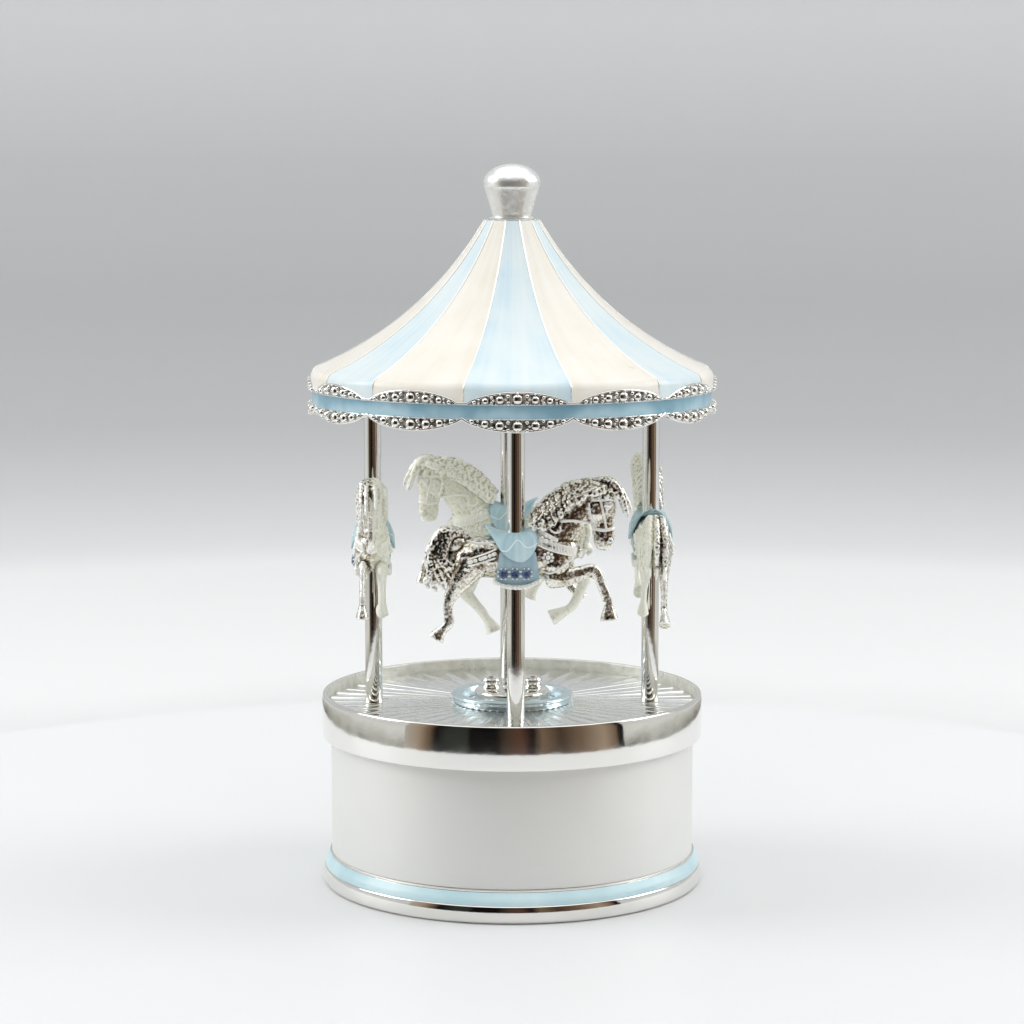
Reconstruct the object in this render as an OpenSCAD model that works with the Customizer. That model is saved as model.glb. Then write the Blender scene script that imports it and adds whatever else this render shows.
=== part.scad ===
// Carousel music box: a drum with a clockwork movement turns a deck of four horses under a canopy.
// Millimetres, +Z up, origin on the floor at the turning axis. The front horse stands at -Y.

/* [Base] */
// Radius of the drum wall
drum_r = 39.3; // [38.9:0.1:39.3]
// Height of the drum wall above the floor
drum_top = 37.3; // [36.9:0.1:37.4]
// Radius of the foot at its widest
foot_r = 41.2; // [41:0.1:42]
// Height of the foot, up to the drum wall
foot_h = 6.9; // [6.8:0.1:7]

/* [Turntable] */
// Outer radius of the lid rim that carries the deck
lid_r = 41.2; // [41.2:0.1:42]
// Height of the lid rim's lower edge
lid_bottom = 32.1; // [31:0.1:33]
// Height of the lid rim's upper edge
lid_top = 41.4; // [41:0.1:42]
// Height of the deck's upper face
deck_top = 39.05; // [38.9:0.05:39.2]
// Outer radius of the ring round the hub
hub_ring_r = 13.2; // [12:0.1:14]

/* [Poles] */
// Radius of a pole
pole_r = 1.87; // [1.6:0.01:2]
// Distance of each pole from the turning axis
pole_ring_r = 30; // [28:0.5:31]

/* [Canopy] */
// Largest radius of the canopy, over its beaded lips
canopy_r = 43.9; // [43.8:0.1:44.5]
// Height of the canopy's flat top
canopy_top = 143.1; // [142.8:0.1:143.4]
// Number of hanging lobes under the eave
lobes = 12; // [12:2:16]
// Thickness of the enamel
enamel_t = 0.35; // [0.3:0.05:0.4]

/* [Finial] */
// Radius of the finial knob at its widest
finial_r = 6.1; // [5.5:0.1:6.5]
// Height of the whole music box
total_h = 155; // [154:0.1:156]

/* [Horses] */
// Height of the saddle seam line on the two low horses
horse_low_z = 72.6; // [71:0.1:74]
// How much higher the two high horses are fixed on their poles
horse_step = 1.65; // [0:0.05:4]
// Width of a horse as a share of its drawn depth
horse_width = 0.86; // [0.8:0.01:0.9]

/* [Movement] */
// Teeth on the crown wheel of the spring barrel
crown_teeth = 32; // [32:1:32]
// Teeth on the pinion that the crown wheel drives
pinion_teeth = 10; // [10:1:10]
// Teeth on the gear at the end of the pinned cylinder
cylinder_gear_teeth = 36; // [36:1:36]
// Teeth on the governor's pinion
governor_pinion_teeth = 9; // [9:1:9]
// Teeth on the governor's worm wheel
worm_wheel_teeth = 16; // [16:1:16]
// Number of teeth on the comb
notes = 18; // [12:1:18]

/* [Hidden] */
round_fn = 96;
eps = 0.01;
fit = 0.05;

// Base plates and walls
wall = 0.8;
drum_in = drum_r - wall;
recess_top = foot_h;
plate_t = 1.2;
plate_r = drum_in - 0.1;
bed_z = recess_top + plate_t;
bed_t = 2;
bed_top = bed_z + bed_t;
ledge_z = recess_top - 1.9;
ledge_r = 33.5;
top_plate_z = drum_top - 2.8;
enamel_z0 = 3.8;
enamel_z1 = 6.5;
bottom_screw_r = 36;

// Turning axis
shaft_r = 2;
barrel_r = 12;
barrel_z0 = bed_top + 0.6;
barrel_z1 = barrel_z0 + 6.8;
bush_top = drum_top - 0.6;
washer_t = 0.4;
hub_z = 42;
hub_r = 8.2;
hub_screw_x = 4.55;
hub_screw_hole = 0.95;
deck_t = 1;
deck_r = lid_r - 1.25;

// Poles
end_r = 1.2;
end_hole = end_r + fit;
canopy_plate_z = 104.8;
pole_bottom = deck_top - deck_t - 1.7;
pole_top = canopy_plate_z + wall + 1.8;

// Canopy flank: one concave arc from the flat top down to the eave
flank_r = 75;
flank_c = [70.5, canopy_top + 38];
canopy_top_r = 5.9;
eave_z = 109;
flank_end = 42.54;
roll_c = [42.15, 110.49];
roll_r = 1.05;
band_z0 = 104.2;
band_z1 = 107.2;
skirt_z = 101.5;
skirt_r = canopy_r - 0.5;
shell_t = 1.1;
seam_w = 0.5;
lobe_angle = 360 / lobes;
// the canopy's seams, in degrees from the middle of the front panel, on one side and then all round
seam_side = [14.5, 42.5, 64.5, 96, 120, 143, 167];
seams = concat(seam_side, [for (i = [len(seam_side) - 1 : -1 : 0]) 360 - seam_side[i]]);
front = 270;

// Crown wheel and cylinder
crown_r0 = 9.6;
crown_r1 = 11.8;
crown_mid = (crown_r0 + crown_r1) / 2;
crown_pitch = 2 * PI * crown_mid / crown_teeth;
crown_root = barrel_z1 + 0.7;
crown_h = 1.4;
pinion_r = pinion_teeth * crown_pitch / (2 * PI);
axis_z = crown_root + 0.8 + pinion_r;
cyl_r = 6;
cyl_x0 = 14.4;
cyl_x1 = 28.2;
pin_h = 0.55;
pin_r = 0.2;
arbor_r = 1;
bracket_x0 = 12.5;
bracket_x1 = 32.6;
bracket_t = 1.2;
gear_x = cyl_x1 + 0.4;
gear_t = 0.8;
note_pitch = (cyl_x1 - cyl_x0 - 0.4) / notes;
comb_tip = cyl_r + pin_h + 0.2;
comb_root = 15;
comb_back = 19;
comb_z = axis_z - 0.45;
comb_t = 0.9;
comb_screw_x = [17.2, 25.4];

// Governor
gov_module = 0.35;
gov_distance = gov_module * (cylinder_gear_teeth + governor_pinion_teeth) / 2 + 0.05;
gov_angle = -28;
gov_y = gov_distance * cos(gov_angle);
gov_z = axis_z + gov_distance * sin(gov_angle);
gov_arbor_r = 0.6;
worm_module = 0.5;
worm_pitch = PI * worm_module;
wheel_r = worm_module * worm_wheel_teeth / 2;
wheel_x = 30.5;
wheel_t = 0.9;
worm_core = 1;
worm_off = 0.4;
worm_y = gov_y + wheel_r + 1.25;
worm_x = wheel_x + wheel_t / 2;
worm_turns = 5;
worm_z0 = gov_z - worm_pitch * (0.25 + 2);
worm_top = worm_z0 + worm_turns * worm_pitch;
fly_r = 2.9;
fly_z0 = worm_top + 0.4;
fly_h = 3.6;

function on_circle(r, a) = [r * cos(a), r * sin(a)];

// ---- shared shapes ----

module tube(r_out, r_in, z0, z1) {
    translate([0, 0, z0])
        difference() {
            cylinder(r = r_out, h = z1 - z0, $fn = round_fn);
            translate([0, 0, -1])
                cylinder(r = r_in, h = z1 - z0 + 2, $fn = round_fn);
        }
}

module rod(r, z0, z1) {
    translate([0, 0, z0])
        cylinder(r = r, h = z1 - z0, $fn = 48);
}

// A rod or tube along +X at the given height
module rod_x(r, x0, x1, y, z) {
    translate([x0, y, z])
        rotate([0, 90, 0])
            cylinder(r = r, h = x1 - x0, $fn = 48);
}

module screw(head_r, head_h, r, length) {
    translate([0, 0, -head_h])
        cylinder(r = head_r, h = head_h, $fn = 48);
    cylinder(r = r, h = length, $fn = 48);
}

// Straight-sided teeth: narrow enough to run with play at every angle
module gear_2d(teeth, pitch_r, add, ded, root_share, tip_share) {
    step = 360 / teeth;
    root = pitch_r - ded;
    tip = pitch_r + add;
    polygon([
        for (i = [0 : teeth - 1])
            for (p = [[root, -root_share], [tip, -tip_share], [tip, tip_share], [root, root_share]])
                on_circle(p[0], (i + p[1] / 2) * step)
    ]);
}

module gear_x(teeth, pitch_r, add, ded, bore, phase, x, thick, y, z) {
    translate([x, y, z])
        rotate([90, 0, 90])
            linear_extrude(thick)
                difference() {
                    rotate(phase)
                        gear_2d(teeth, pitch_r, add, ded, 0.5, 0.26);
                    circle(r = bore, $fn = 48);
                }
}

module around_poles(height) {
    for (a = [0 : 90 : 270])
        rotate(a)
            translate([0, -pole_ring_r, height])
                children();
}

// ---- base ----

module foot_profile() {
    difference() {
        union() {
            translate([ledge_r, ledge_z])
                square([drum_r - ledge_r, recess_top - ledge_z]);
            polygon([
                [37.6, 0], [foot_r - 0.9, 0], [foot_r - 0.3, 0.5], [foot_r, 1.7], [foot_r - 0.1, 3],
                [foot_r - 0.4, enamel_z0], [foot_r - 0.9, 5], [drum_r + 0.35, enamel_z1],
                [drum_r + 0.1, recess_top], [37.6, recess_top]
            ]);
        }
        enamel_band_profile();
    }
}

module enamel_band_profile() {
    polygon([
        [foot_r - 0.4 - enamel_t, enamel_z0], [foot_r - 0.4 + eps, enamel_z0],
        [foot_r - 0.9 + eps, 5], [drum_r + 0.35 + eps, enamel_z1],
        [drum_r + 0.35 - enamel_t, enamel_z1], [foot_r - 0.9 - enamel_t, 5]
    ]);
}

module foot_ring() {
    color("silver")
        difference() {
            rotate_extrude($fn = round_fn)
                foot_profile();
            bottom_screw_places()
                rod(1 + fit, ledge_z - 1, recess_top + 1);
        }
}

module foot_enamel_band() {
    color("lightskyblue")
        rotate_extrude($fn = round_fn)
            enamel_band_profile();
}

module drum_shell() {
    color("silver")
        tube(drum_r, drum_in, recess_top, drum_top);
}

module bottom_plate() {
    color("gainsboro")
        difference() {
            rod(plate_r, recess_top, bed_z);
            rod(shaft_r + 0.3, recess_top - 1, bed_z + 1);
            bottom_screw_places()
                rod(1 + fit, recess_top - 1, bed_z + 1);
            movement_screw_places()
                rod(1 + fit, recess_top - 1, bed_z + 1);
        }
}

module bottom_screw_places() {
    for (a = [30 : 120 : 270])
        rotate(a)
            translate([bottom_screw_r, 0, 0])
                children();
}

module bottom_screws() {
    color("silver")
        bottom_screw_places()
            translate([0, 0, ledge_z])
                screw(1.45, 0.9, 1, bed_z - ledge_z);
}

module movement_screw_places() {
    for (p = [[-11, -13], [-11, 11], [24, 10.6]])
        translate([p[0], p[1], 0])
            children();
}

module movement_screws() {
    color("silver")
        movement_screw_places()
            translate([0, 0, recess_top])
                screw(2, 0.8, 1, plate_t + bed_t);
}

module drum_top_plate() {
    color("gainsboro")
        tube(plate_r, 4 + fit, top_plate_z, top_plate_z + plate_t);
}

module bearing_bush() {
    color("goldenrod") {
        tube(4, shaft_r + fit, top_plate_z - 0.9, bush_top);
        tube(5.2, 4, top_plate_z - 0.9, top_plate_z);
    }
}

// ---- movement: fixed parts ----

module movement_bedplate() {
    color("darkkhaki")
        difference() {
            union() {
                intersection() {
                    translate([-14.5, -19.5, bed_z])
                        cube([49, 37.5, bed_t]);
                    rod(37.4, bed_z - 1, bed_top + 1);
                }
                translate([cyl_x0, -comb_back, bed_z + 1])
                    cube([cyl_x1 - cyl_x0, comb_back - comb_root, comb_z - bed_z - 1]);
            }
            rod(shaft_r + fit, bed_z - 1, bed_top + 1);
            movement_screw_places()
                rod(1 + fit, bed_z - 1, bed_top + 1);
            for (x = comb_screw_x)
                translate([x, -(comb_back + comb_root) / 2, 0])
                    rod(0.9 + fit, comb_z - 5, comb_z + 1);
        }
}

module bracket(x, width, y0, top) {
    difference() {
        translate([x, y0, bed_top])
            cube([bracket_t, width, top - bed_top]);
        rod_x(arbor_r + fit, x - 1, x + bracket_t + 1, 0, axis_z);
        rod_x(gov_arbor_r + fit, x - 1, x + bracket_t + 1, gov_y, gov_z);
    }
}

module cylinder_bracket_inner() {
    color("darkkhaki")
        bracket(bracket_x0, 6, -3, axis_z + 3);
}

module cylinder_bracket_outer() {
    color("darkkhaki")
        bracket(bracket_x1, 12.5, -3, axis_z + 3);
}

module comb() {
    color("lightsteelblue")
        translate([0, 0, comb_z])
            linear_extrude(comb_t)
                difference() {
                    translate([cyl_x0 + 0.2, -comb_back])
                        square([cyl_x1 - cyl_x0 - 0.4, comb_back - comb_tip]);
                    for (i = [1 : notes - 1])
                        translate([cyl_x0 + 0.2 + i * note_pitch - 0.1, -comb_root])
                            square([0.2, comb_root]);
                    for (x = comb_screw_x)
                        translate([x, -(comb_back + comb_root) / 2])
                            circle(r = 0.9 + fit, $fn = 48);
                }
}

module comb_screws() {
    color("silver")
        for (x = comb_screw_x)
            translate([x, -(comb_back + comb_root) / 2, comb_z + comb_t])
                rotate([180, 0, 0])
                    screw(1.7, 0.9, 0.9, 5);
}

module governor_frame() {
    arm_z = fly_z0 + fly_h + 0.6;
    color("darkkhaki")
        difference() {
            union() {
                translate([worm_x - 1.4, worm_y + fly_r + 0.5, bed_top])
                    cube([2.8, 1.4, arm_z + 1 - bed_top]);
                translate([worm_x - 1.4, worm_y - 1.4, arm_z])
                    cube([2.8, fly_r + 2.4, 1]);
                translate([worm_x - 1.4, worm_y - 1.4, bed_top])
                    cube([2.8, fly_r + 2.4, 1.4]);
                translate([29.55, gov_y - 1.6, bed_top])
                    cube([0.7, 3.2, gov_z + 1.6 - bed_top]);
            }
            translate([worm_x, worm_y, 0])
                rod(0.4 + fit, bed_top + 0.4, arm_z + 2);
            rod_x(gov_arbor_r + fit, 29, 31, gov_y, gov_z);
        }
}

// ---- movement: winding ----

module winding_key() {
    key_z0 = 0.9;
    color("silver")
        difference() {
            union() {
                translate([-7, -0.6, key_z0])
                    cube([14, 1.2, 4.4]);
                for (side = [-1, 1])
                    translate([side * 7, 0.6, key_z0 + 2.2])
                        rotate([90, 0, 0])
                            cylinder(r = 2.2, h = 1.2, $fn = 48);
                rod(2.9, key_z0, key_z0 + 5);
            }
            rod(shaft_r, key_z0 + 2.5, key_z0 + 6);
            for (side = [-1, 1])
                translate([side * 7, 1, key_z0 + 2.2])
                    rotate([90, 0, 0])
                        cylinder(r = 1, h = 2, $fn = 48);
        }
}

module winding_arbor() {
    color("silver")
        rod(shaft_r, 3.4, barrel_z1 - 1.1);
}

// ---- carousel: drive ----

module spring_barrel() {
    color("goldenrod") {
        tube(barrel_r, barrel_r - 1, barrel_z0 + 0.8, barrel_z1 - 0.8);
        tube(barrel_r, shaft_r + fit, barrel_z0, barrel_z0 + 0.8);
        rod(barrel_r, barrel_z1 - 0.8, barrel_z1);
    }
}

module mainspring() {
    coils = 6;
    start_r = shaft_r + 0.5;
    grow = (barrel_r - 1.7 - start_r) / (coils * 360);
    steps = coils * 20;
    color("steelblue")
        translate([0, 0, barrel_z0 + 1.1])
            linear_extrude(barrel_z1 - barrel_z0 - 2.5)
                polygon(concat(
                    [for (i = [0 : steps]) on_circle(start_r + grow * i * 18, i * 18)],
                    [for (i = [steps : -1 : 0]) on_circle(start_r + 0.35 + grow * i * 18, i * 18)]
                ));
}

module crown_wheel() {
    color("goldenrod") {
        tube(barrel_r, shaft_r + 1, barrel_z1, crown_root);
        for (i = [0 : crown_teeth - 1])
            rotate(i * 360 / crown_teeth)
                translate([crown_r0, 0, crown_root - 0.2])
                    rotate([90, 0, 90])
                        linear_extrude(crown_r1 - crown_r0)
                            polygon([[-0.42, 0], [0.42, 0], [0.2, crown_h + 0.2], [-0.2, crown_h + 0.2]]);
    }
}

module output_shaft() {
    color("silver")
        rod(shaft_r, barrel_z1, hub_z - 1);
}

module thrust_washer() {
    color("white")
        tube(3.6, shaft_r + fit, bush_top + fit, bush_top + fit + washer_t);
}

// ---- carousel: turntable ----

module lid_rim() {
    step_z = deck_top - deck_t;
    color("silver")
        rotate_extrude($fn = round_fn)
            polygon([
                [drum_r + 0.35, lid_bottom], [lid_r - 0.25, lid_bottom], [lid_r - 0.1, lid_bottom + 0.2],
                [lid_r, lid_bottom + 2.5], [lid_r, lid_bottom + 4.5], [lid_r - 0.15, lid_top - 1.2],
                [lid_r - 0.3, lid_top - 0.5], [lid_r - 0.65, lid_top - 0.1], [lid_r - 1, lid_top],
                [deck_r + fit, lid_top - 0.3], [deck_r + fit, step_z], [drum_r + 0.35, step_z]
            ]);
}

module turntable_deck() {
    color("silver")
        difference() {
            rod(deck_r, deck_top - deck_t, deck_top);
            rod(3 + fit, deck_top - deck_t - 1, deck_top + 1);
            around_poles(0)
                rod(end_hole, deck_top - deck_t - 1, deck_top + 1);
            for (side = [-1, 1])
                translate([side * hub_screw_x, 0, 0])
                    rod(hub_screw_hole, deck_top - deck_t - 1, deck_top + 1);
        }
}

module turntable_hub() {
    color("silver")
        difference() {
            union() {
                rod(hub_r, deck_top, hub_z);
                rod(3, bush_top + fit + washer_t, deck_top + eps);
            }
            rod(shaft_r, bush_top - 1, hub_z - 1);
            for (side = [-1, 1])
                translate([side * hub_screw_x, 0, 0])
                    rod(hub_screw_hole, deck_top - 1, hub_z + 1);
        }
}

module hub_ring() {
    ring_top = deck_top + 1.9;
    color("silver") {
        tube(hub_ring_r, hub_ring_r - 2.9, ring_top - 1.2, ring_top);
        tube(hub_ring_r - 0.5, hub_ring_r - 2.9, deck_top, ring_top - 1.2);
    }
}

module hub_screws() {
    color("silver")
        for (side = [-1, 1])
            translate([side * hub_screw_x, 0, 0]) {
                rod(hub_screw_hole - fit, deck_top - deck_t, hub_z);
                translate([0, 0, hub_z])
                    linear_extrude(2.2)
                        gear_2d(20, 1.95, 0.1, 0.1, 0.5, 0.3);
            }
}

// ---- carousel: poles ----

module pole(a) {
    color("gainsboro")
        rotate(a)
            translate([0, -pole_ring_r, 0]) {
                rod(end_r, pole_bottom, deck_top);
                rod(pole_r, deck_top, canopy_plate_z);
                rod(end_r, canopy_plate_z, pole_top);
            }
}

module pole_front() { pole(0); }
module pole_right() { pole(90); }
module pole_back() { pole(180); }
module pole_left() { pole(270); }

module nut(z, height) {
    around_poles(z)
        difference() {
            cylinder(r = 2.7, h = height, $fn = 6);
            translate([0, 0, -1])
                cylinder(r = end_hole, h = height + 2, $fn = 48);
        }
}

module pole_foot_nuts() {
    color("silver")
        nut(pole_bottom + 0.1, 1.6);
}

module pole_top_nuts() {
    color("silver")
        nut(canopy_plate_z + wall, 1.6);
}

// ---- carousel: horses ----

// One tapering stretch of a horse between two round ends given as [x, y, z, radius]
module stretch(p, q) {
    hull() {
        translate([p[0], p[1], p[2]])
            sphere(r = p[3], $fn = 12);
        translate([q[0], q[1], q[2]])
            sphere(r = q[3], $fn = 12);
    }
}

module chain(points) {
    for (i = [0 : len(points) - 2])
        stretch(points[i], points[i + 1]);
}

trunk = [[-8.3, 0, 0.6, 4.2], [-1, 0, 0.6, 3.9], [8.6, 0, 2, 4.4]];

module horse_body() {
    chain(trunk);
    // neck and head
    chain([[8.6, 0, 4, 4], [12.8, 0, 9.5, 3.1], [17.2, 0, 13, 2.7],
           [19.3, 0, 8.6, 2], [18.6, 0, 3.4, 1.7]]);
    // mane over the crest, and the forelock
    chain([[5.2, 0, 9, 1.3], [11.5, 0, 13.6, 1.6], [18, 0, 15, 1.6], [22.8, 0, 12.2, 1.2]]);
    // tail
    chain([[-11, 0, 3.6, 1.8], [-14.4, 0, 5, 1.8], [-16.6, 0, 0.5, 1.9], [-16.3, 0, -4, 1.5]]);
    // hind legs
    chain([[-9.5, -1.8, -1, 2.7], [-12.2, -1.9, -6.2, 1.4],
           [-14, -1.9, -13, 0.9], [-16.2, -1.9, -15.8, 1.2]]);
    chain([[-8.8, 1.8, -1, 2.7], [-6.6, 1.9, -9.4, 1.2], [-5.9, 1.9, -12.4, 0.8], [-4.6, 1.9, -15, 1.1]]);
    // forelegs
    chain([[8.4, -1.7, -1, 2.2], [15.6, -1.9, -3.1, 1.2], [19.2, -1.9, -9.2, 0.8], [19, -1.9, -11.8, 1.1]]);
    chain([[8.2, 1.7, -1.4, 2.2], [14, 1.9, -4.4, 1.2], [11.4, 1.9, -10.4, 0.8], [8.6, 1.9, -12.2, 1.1]]);
}

module horse() {
    difference() {
        scale([1, horse_width, 1])
            horse_body();
        translate([0, 0, -30])
            cylinder(r = pole_r + 0.1, h = 60, $fn = 24);
    }
}

// The trunk from rump to chest as one closed form, grown outward by the given amount
module trunk_hull(grow) {
    hull()
        for (p = trunk)
            translate([p[0], 0, p[2]])
                sphere(r = p[3] + grow, $fn = 16);
}

module saddle() {
    difference() {
        intersection() {
            scale([1, horse_width, 1])
                trunk_hull(1.1);
            union() {
                translate([-4.2, -8, -4.6])
                    cube([8.6, 16, 6]);
                translate([-6.3, -8, 0])
                    cube([9.6, 16, 8]);
            }
        }
        scale([1, horse_width, 1])
            trunk_hull(0.15);
        translate([0, 0, -30])
            cylinder(r = pole_r + 0.1, h = 60, $fn = 24);
    }
}

module on_pole(a, step) {
    rotate(a)
        translate([0, -pole_ring_r, horse_low_z + step])
            children();
}

module horse_at(a, step) {
    color("silver")
        on_pole(a, step)
            horse();
}

module saddle_at(a, step) {
    color("skyblue")
        on_pole(a, step)
            saddle();
}

module horse_front() { horse_at(0, horse_step); }
module horse_right() { horse_at(90, horse_step); }
module horse_back() { horse_at(180, 0); }
module horse_left() { horse_at(270, 0); }
module saddle_front() { saddle_at(0, horse_step); }
module saddle_right() { saddle_at(90, horse_step); }
module saddle_back() { saddle_at(180, 0); }
module saddle_left() { saddle_at(270, 0); }

module saddle_crystals() {
    color("royalblue")
        for (a = [0 : 90 : 270])
            on_pole(a, a < 180 ? horse_step : 0)
                for (x = [-2.7, 0, 2.7])
                    translate([x, -4.25, -2.6])
                        rotate([90, 0, 0])
                            cylinder(r1 = 1, r2 = 0.6, h = 0.6, $fn = 32);
}

// ---- carousel: canopy ----

// The strip that lies between two depths under the flank arc
module flank_strip(depth0, depth1) {
    intersection() {
        difference() {
            translate(flank_c)
                circle(r = flank_r + depth1, $fn = 240);
            translate(flank_c)
                circle(r = flank_r + depth0, $fn = 240);
        }
        translate([canopy_top_r, eave_z])
            square([flank_end - canopy_top_r, canopy_top - eave_z]);
    }
}

// The enamel's outline: the flank, the tight roll of the eave and the short upright below it
module enamel_strip() {
    flank_strip(0, enamel_t);
    intersection() {
        difference() {
            translate(roll_c)
                circle(r = roll_r, $fn = 64);
            translate(roll_c)
                circle(r = roll_r - enamel_t, $fn = 64);
        }
        translate([flank_end, roll_c[1]])
            square(2);
    }
    translate([roll_c[0] + roll_r - enamel_t, band_z1 + 0.7])
        square([enamel_t, roll_c[1] - band_z1 - 0.7]);
}

// The metal behind the enamel's roll and upright
module eave_core() {
    core_r = roll_c[0] + roll_r - enamel_t;
    translate(roll_c)
        circle(r = roll_r - enamel_t, $fn = 64);
    translate([core_r - 1.4, band_z1])
        square([1.4, roll_c[1] - band_z1]);
    translate([core_r - 1.4, roll_c[1] - 0.1])
        square([0.9, 0.7]);
}

module seam_slabs() {
    for (a = seams)
        rotate(front + a)
            translate([0, -seam_w / 2, 100])
                cube([50, seam_w, 50]);
}

module enamel_layer() {
    rotate_extrude($fn = round_fn)
        enamel_strip();
}

// Twelve hanging lobes: what is left of a ring under a row of wide arches
module scalloped_skirt() {
    lobe_half = skirt_r * sin(lobe_angle / 2);
    drop = band_z0 + 0.25 - skirt_z;
    lobe_r = (lobe_half * lobe_half + drop * drop) / (2 * drop);
    intersection() {
        tube(skirt_r, skirt_r - 1, skirt_z - 1, band_z0);
        for (i = [0 : lobes - 1])
            rotate(i * lobe_angle)
                rod_x(lobe_r, 30, 50, 0, skirt_z + lobe_r);
    }
}

module canopy_shell() {
    color("silver")
        difference() {
            union() {
                rotate_extrude($fn = round_fn) {
                    flank_strip(enamel_t, shell_t + enamel_t);
                    eave_core();
                    translate([0, canopy_top - 1.6])
                        square([canopy_top_r, 1.6]);
                    // upper lip, channel for the band and lower lip
                    translate([41.2, band_z0 - 0.9])
                        square([skirt_r - 0.85 - 41.2, band_z1 - band_z0 + 1.2]);
                    translate([41.2, band_z1])
                        square([canopy_r - 41.2, 0.7]);
                    translate([41.2, band_z0 - 0.7])
                        square([canopy_r - 41.2, 0.7]);
                }
                intersection() {
                    enamel_layer();
                    seam_slabs();
                }
                scalloped_skirt();
            }
            rod(1.5 + fit, canopy_top - 3, canopy_top + 1);
        }
}

module enamel_panels(first) {
    difference() {
        intersection() {
            enamel_layer();
            for (i = [first : 2 : len(seams) - 1])
                translate([0, 0, 100])
                    linear_extrude(50)
                        polygon([
                            [0, 0],
                            on_circle(60, front + (i == 0 ? -seams[0] : seams[i - 1])),
                            on_circle(60, front + seams[i])
                        ]);
        }
        seam_slabs();
    }
}

module canopy_enamel_blue() {
    color("lightskyblue")
        enamel_panels(0);
}

module canopy_enamel_cream() {
    color("ivory")
        enamel_panels(1);
}

module valance_enamel_band() {
    color("skyblue")
        tube(skirt_r - 0.4, skirt_r - 0.85, band_z0, band_z1);
}

module canopy_plate() {
    color("gainsboro")
        difference() {
            rod(41.1, canopy_plate_z, canopy_plate_z + wall);
            around_poles(0)
                rod(end_hole, canopy_plate_z - 1, canopy_plate_z + 2);
        }
}

module finial() {
    neck_r = 4.1;
    wide_z = total_h - 4.2;
    color("silver")
        difference() {
            union() {
                rod(4.85, canopy_top, canopy_top + 0.65);
                rotate_extrude($fn = round_fn)
                    polygon(concat(
                        [[0, canopy_top + 0.6], [neck_r, canopy_top + 0.6], [finial_r - 0.12, wide_z - 0.7]],
                        [for (a = [0 : 9 : 81]) [
                            finial_r * cos(a),
                            wide_z + (total_h - wide_z) * sin(a)
                        ]],
                        [[0, total_h]]
                    ));
            }
            rod(1.5 + fit, canopy_top - 1, canopy_top + 4.5);
        }
}

module finial_stud() {
    color("silver")
        rod(1.5, canopy_top - 4.6, canopy_top + 4.3);
}

module finial_nut() {
    color("silver")
        difference() {
            translate([0, 0, canopy_top - 3.4])
                cylinder(r = 3.2, h = 1.8, $fn = 6);
            rod(1.5 + fit, canopy_top - 5, canopy_top);
        }
}

// ---- movement: turning parts ----

module pinned_cylinder() {
    color("goldenrod")
        difference() {
            rod_x(cyl_r, cyl_x0, cyl_x1, 0, axis_z);
            rod_x(arbor_r, cyl_x0 - 1, cyl_x1 + 1, 0, axis_z);
        }
}

module cylinder_pins() {
    color("silver")
        for (i = [0 : notes - 1])
            for (k = [0 : 4])
                translate([cyl_x0 + 0.2 + (i + 0.5) * note_pitch, 0, axis_z])
                    rotate([i * 137 + k * (61 + i * 3), 0, 0])
                        translate([0, 0, cyl_r])
                            cylinder(r = pin_r, h = pin_h, $fn = 16);
}

module cylinder_arbor() {
    color("silver")
        rod_x(arbor_r, crown_r0 - 0.4, bracket_x1 + bracket_t + 0.4, 0, axis_z);
}

module cylinder_pinion() {
    color("goldenrod")
        gear_x(pinion_teeth, pinion_r, 0.5, 0.8, arbor_r, 0, crown_r0, 2.2, 0, axis_z);
}

module cylinder_gear() {
    color("goldenrod")
        gear_x(cylinder_gear_teeth, gov_module * cylinder_gear_teeth / 2, 0.3, 0.42, arbor_r,
            gov_angle, gear_x, gear_t, 0, axis_z);
}

module governor_arbor() {
    color("silver")
        rod_x(gov_arbor_r, gear_x - 0.2, bracket_x1 + bracket_t, gov_y, gov_z);
}

module governor_pinion() {
    mesh_angle = 180 + gov_angle;
    color("goldenrod")
        gear_x(governor_pinion_teeth, gov_module * governor_pinion_teeth / 2, 0.3, 0.42, gov_arbor_r,
            mesh_angle + 180 / governor_pinion_teeth, gear_x, gear_t, gov_y, gov_z);
}

module worm_wheel() {
    color("goldenrod")
        gear_x(worm_wheel_teeth, wheel_r, 0.25, 0.5, gov_arbor_r, 0, wheel_x, wheel_t, gov_y, gov_z);
}

module governor_worm() {
    color("silver")
        translate([worm_x, worm_y, worm_z0])
            linear_extrude(worm_turns * worm_pitch, twist = -360 * worm_turns, slices = 16 * worm_turns)
                translate([worm_off, 0])
                    circle(r = worm_core, $fn = 20);
}

module governor_fly() {
    color("goldenrod")
        translate([worm_x, worm_y, 0]) {
            rod(0.4, bed_top + 0.6, worm_z0);
            rod(0.4, worm_top, fly_z0 + fly_h + 1.4);
            difference() {
                translate([-fly_r, -0.2, fly_z0])
                    cube([2 * fly_r, 0.4, fly_h]);
                rod(0.4, fly_z0 - 1, fly_z0 + fly_h + 1);
            }
        }
}

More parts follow.
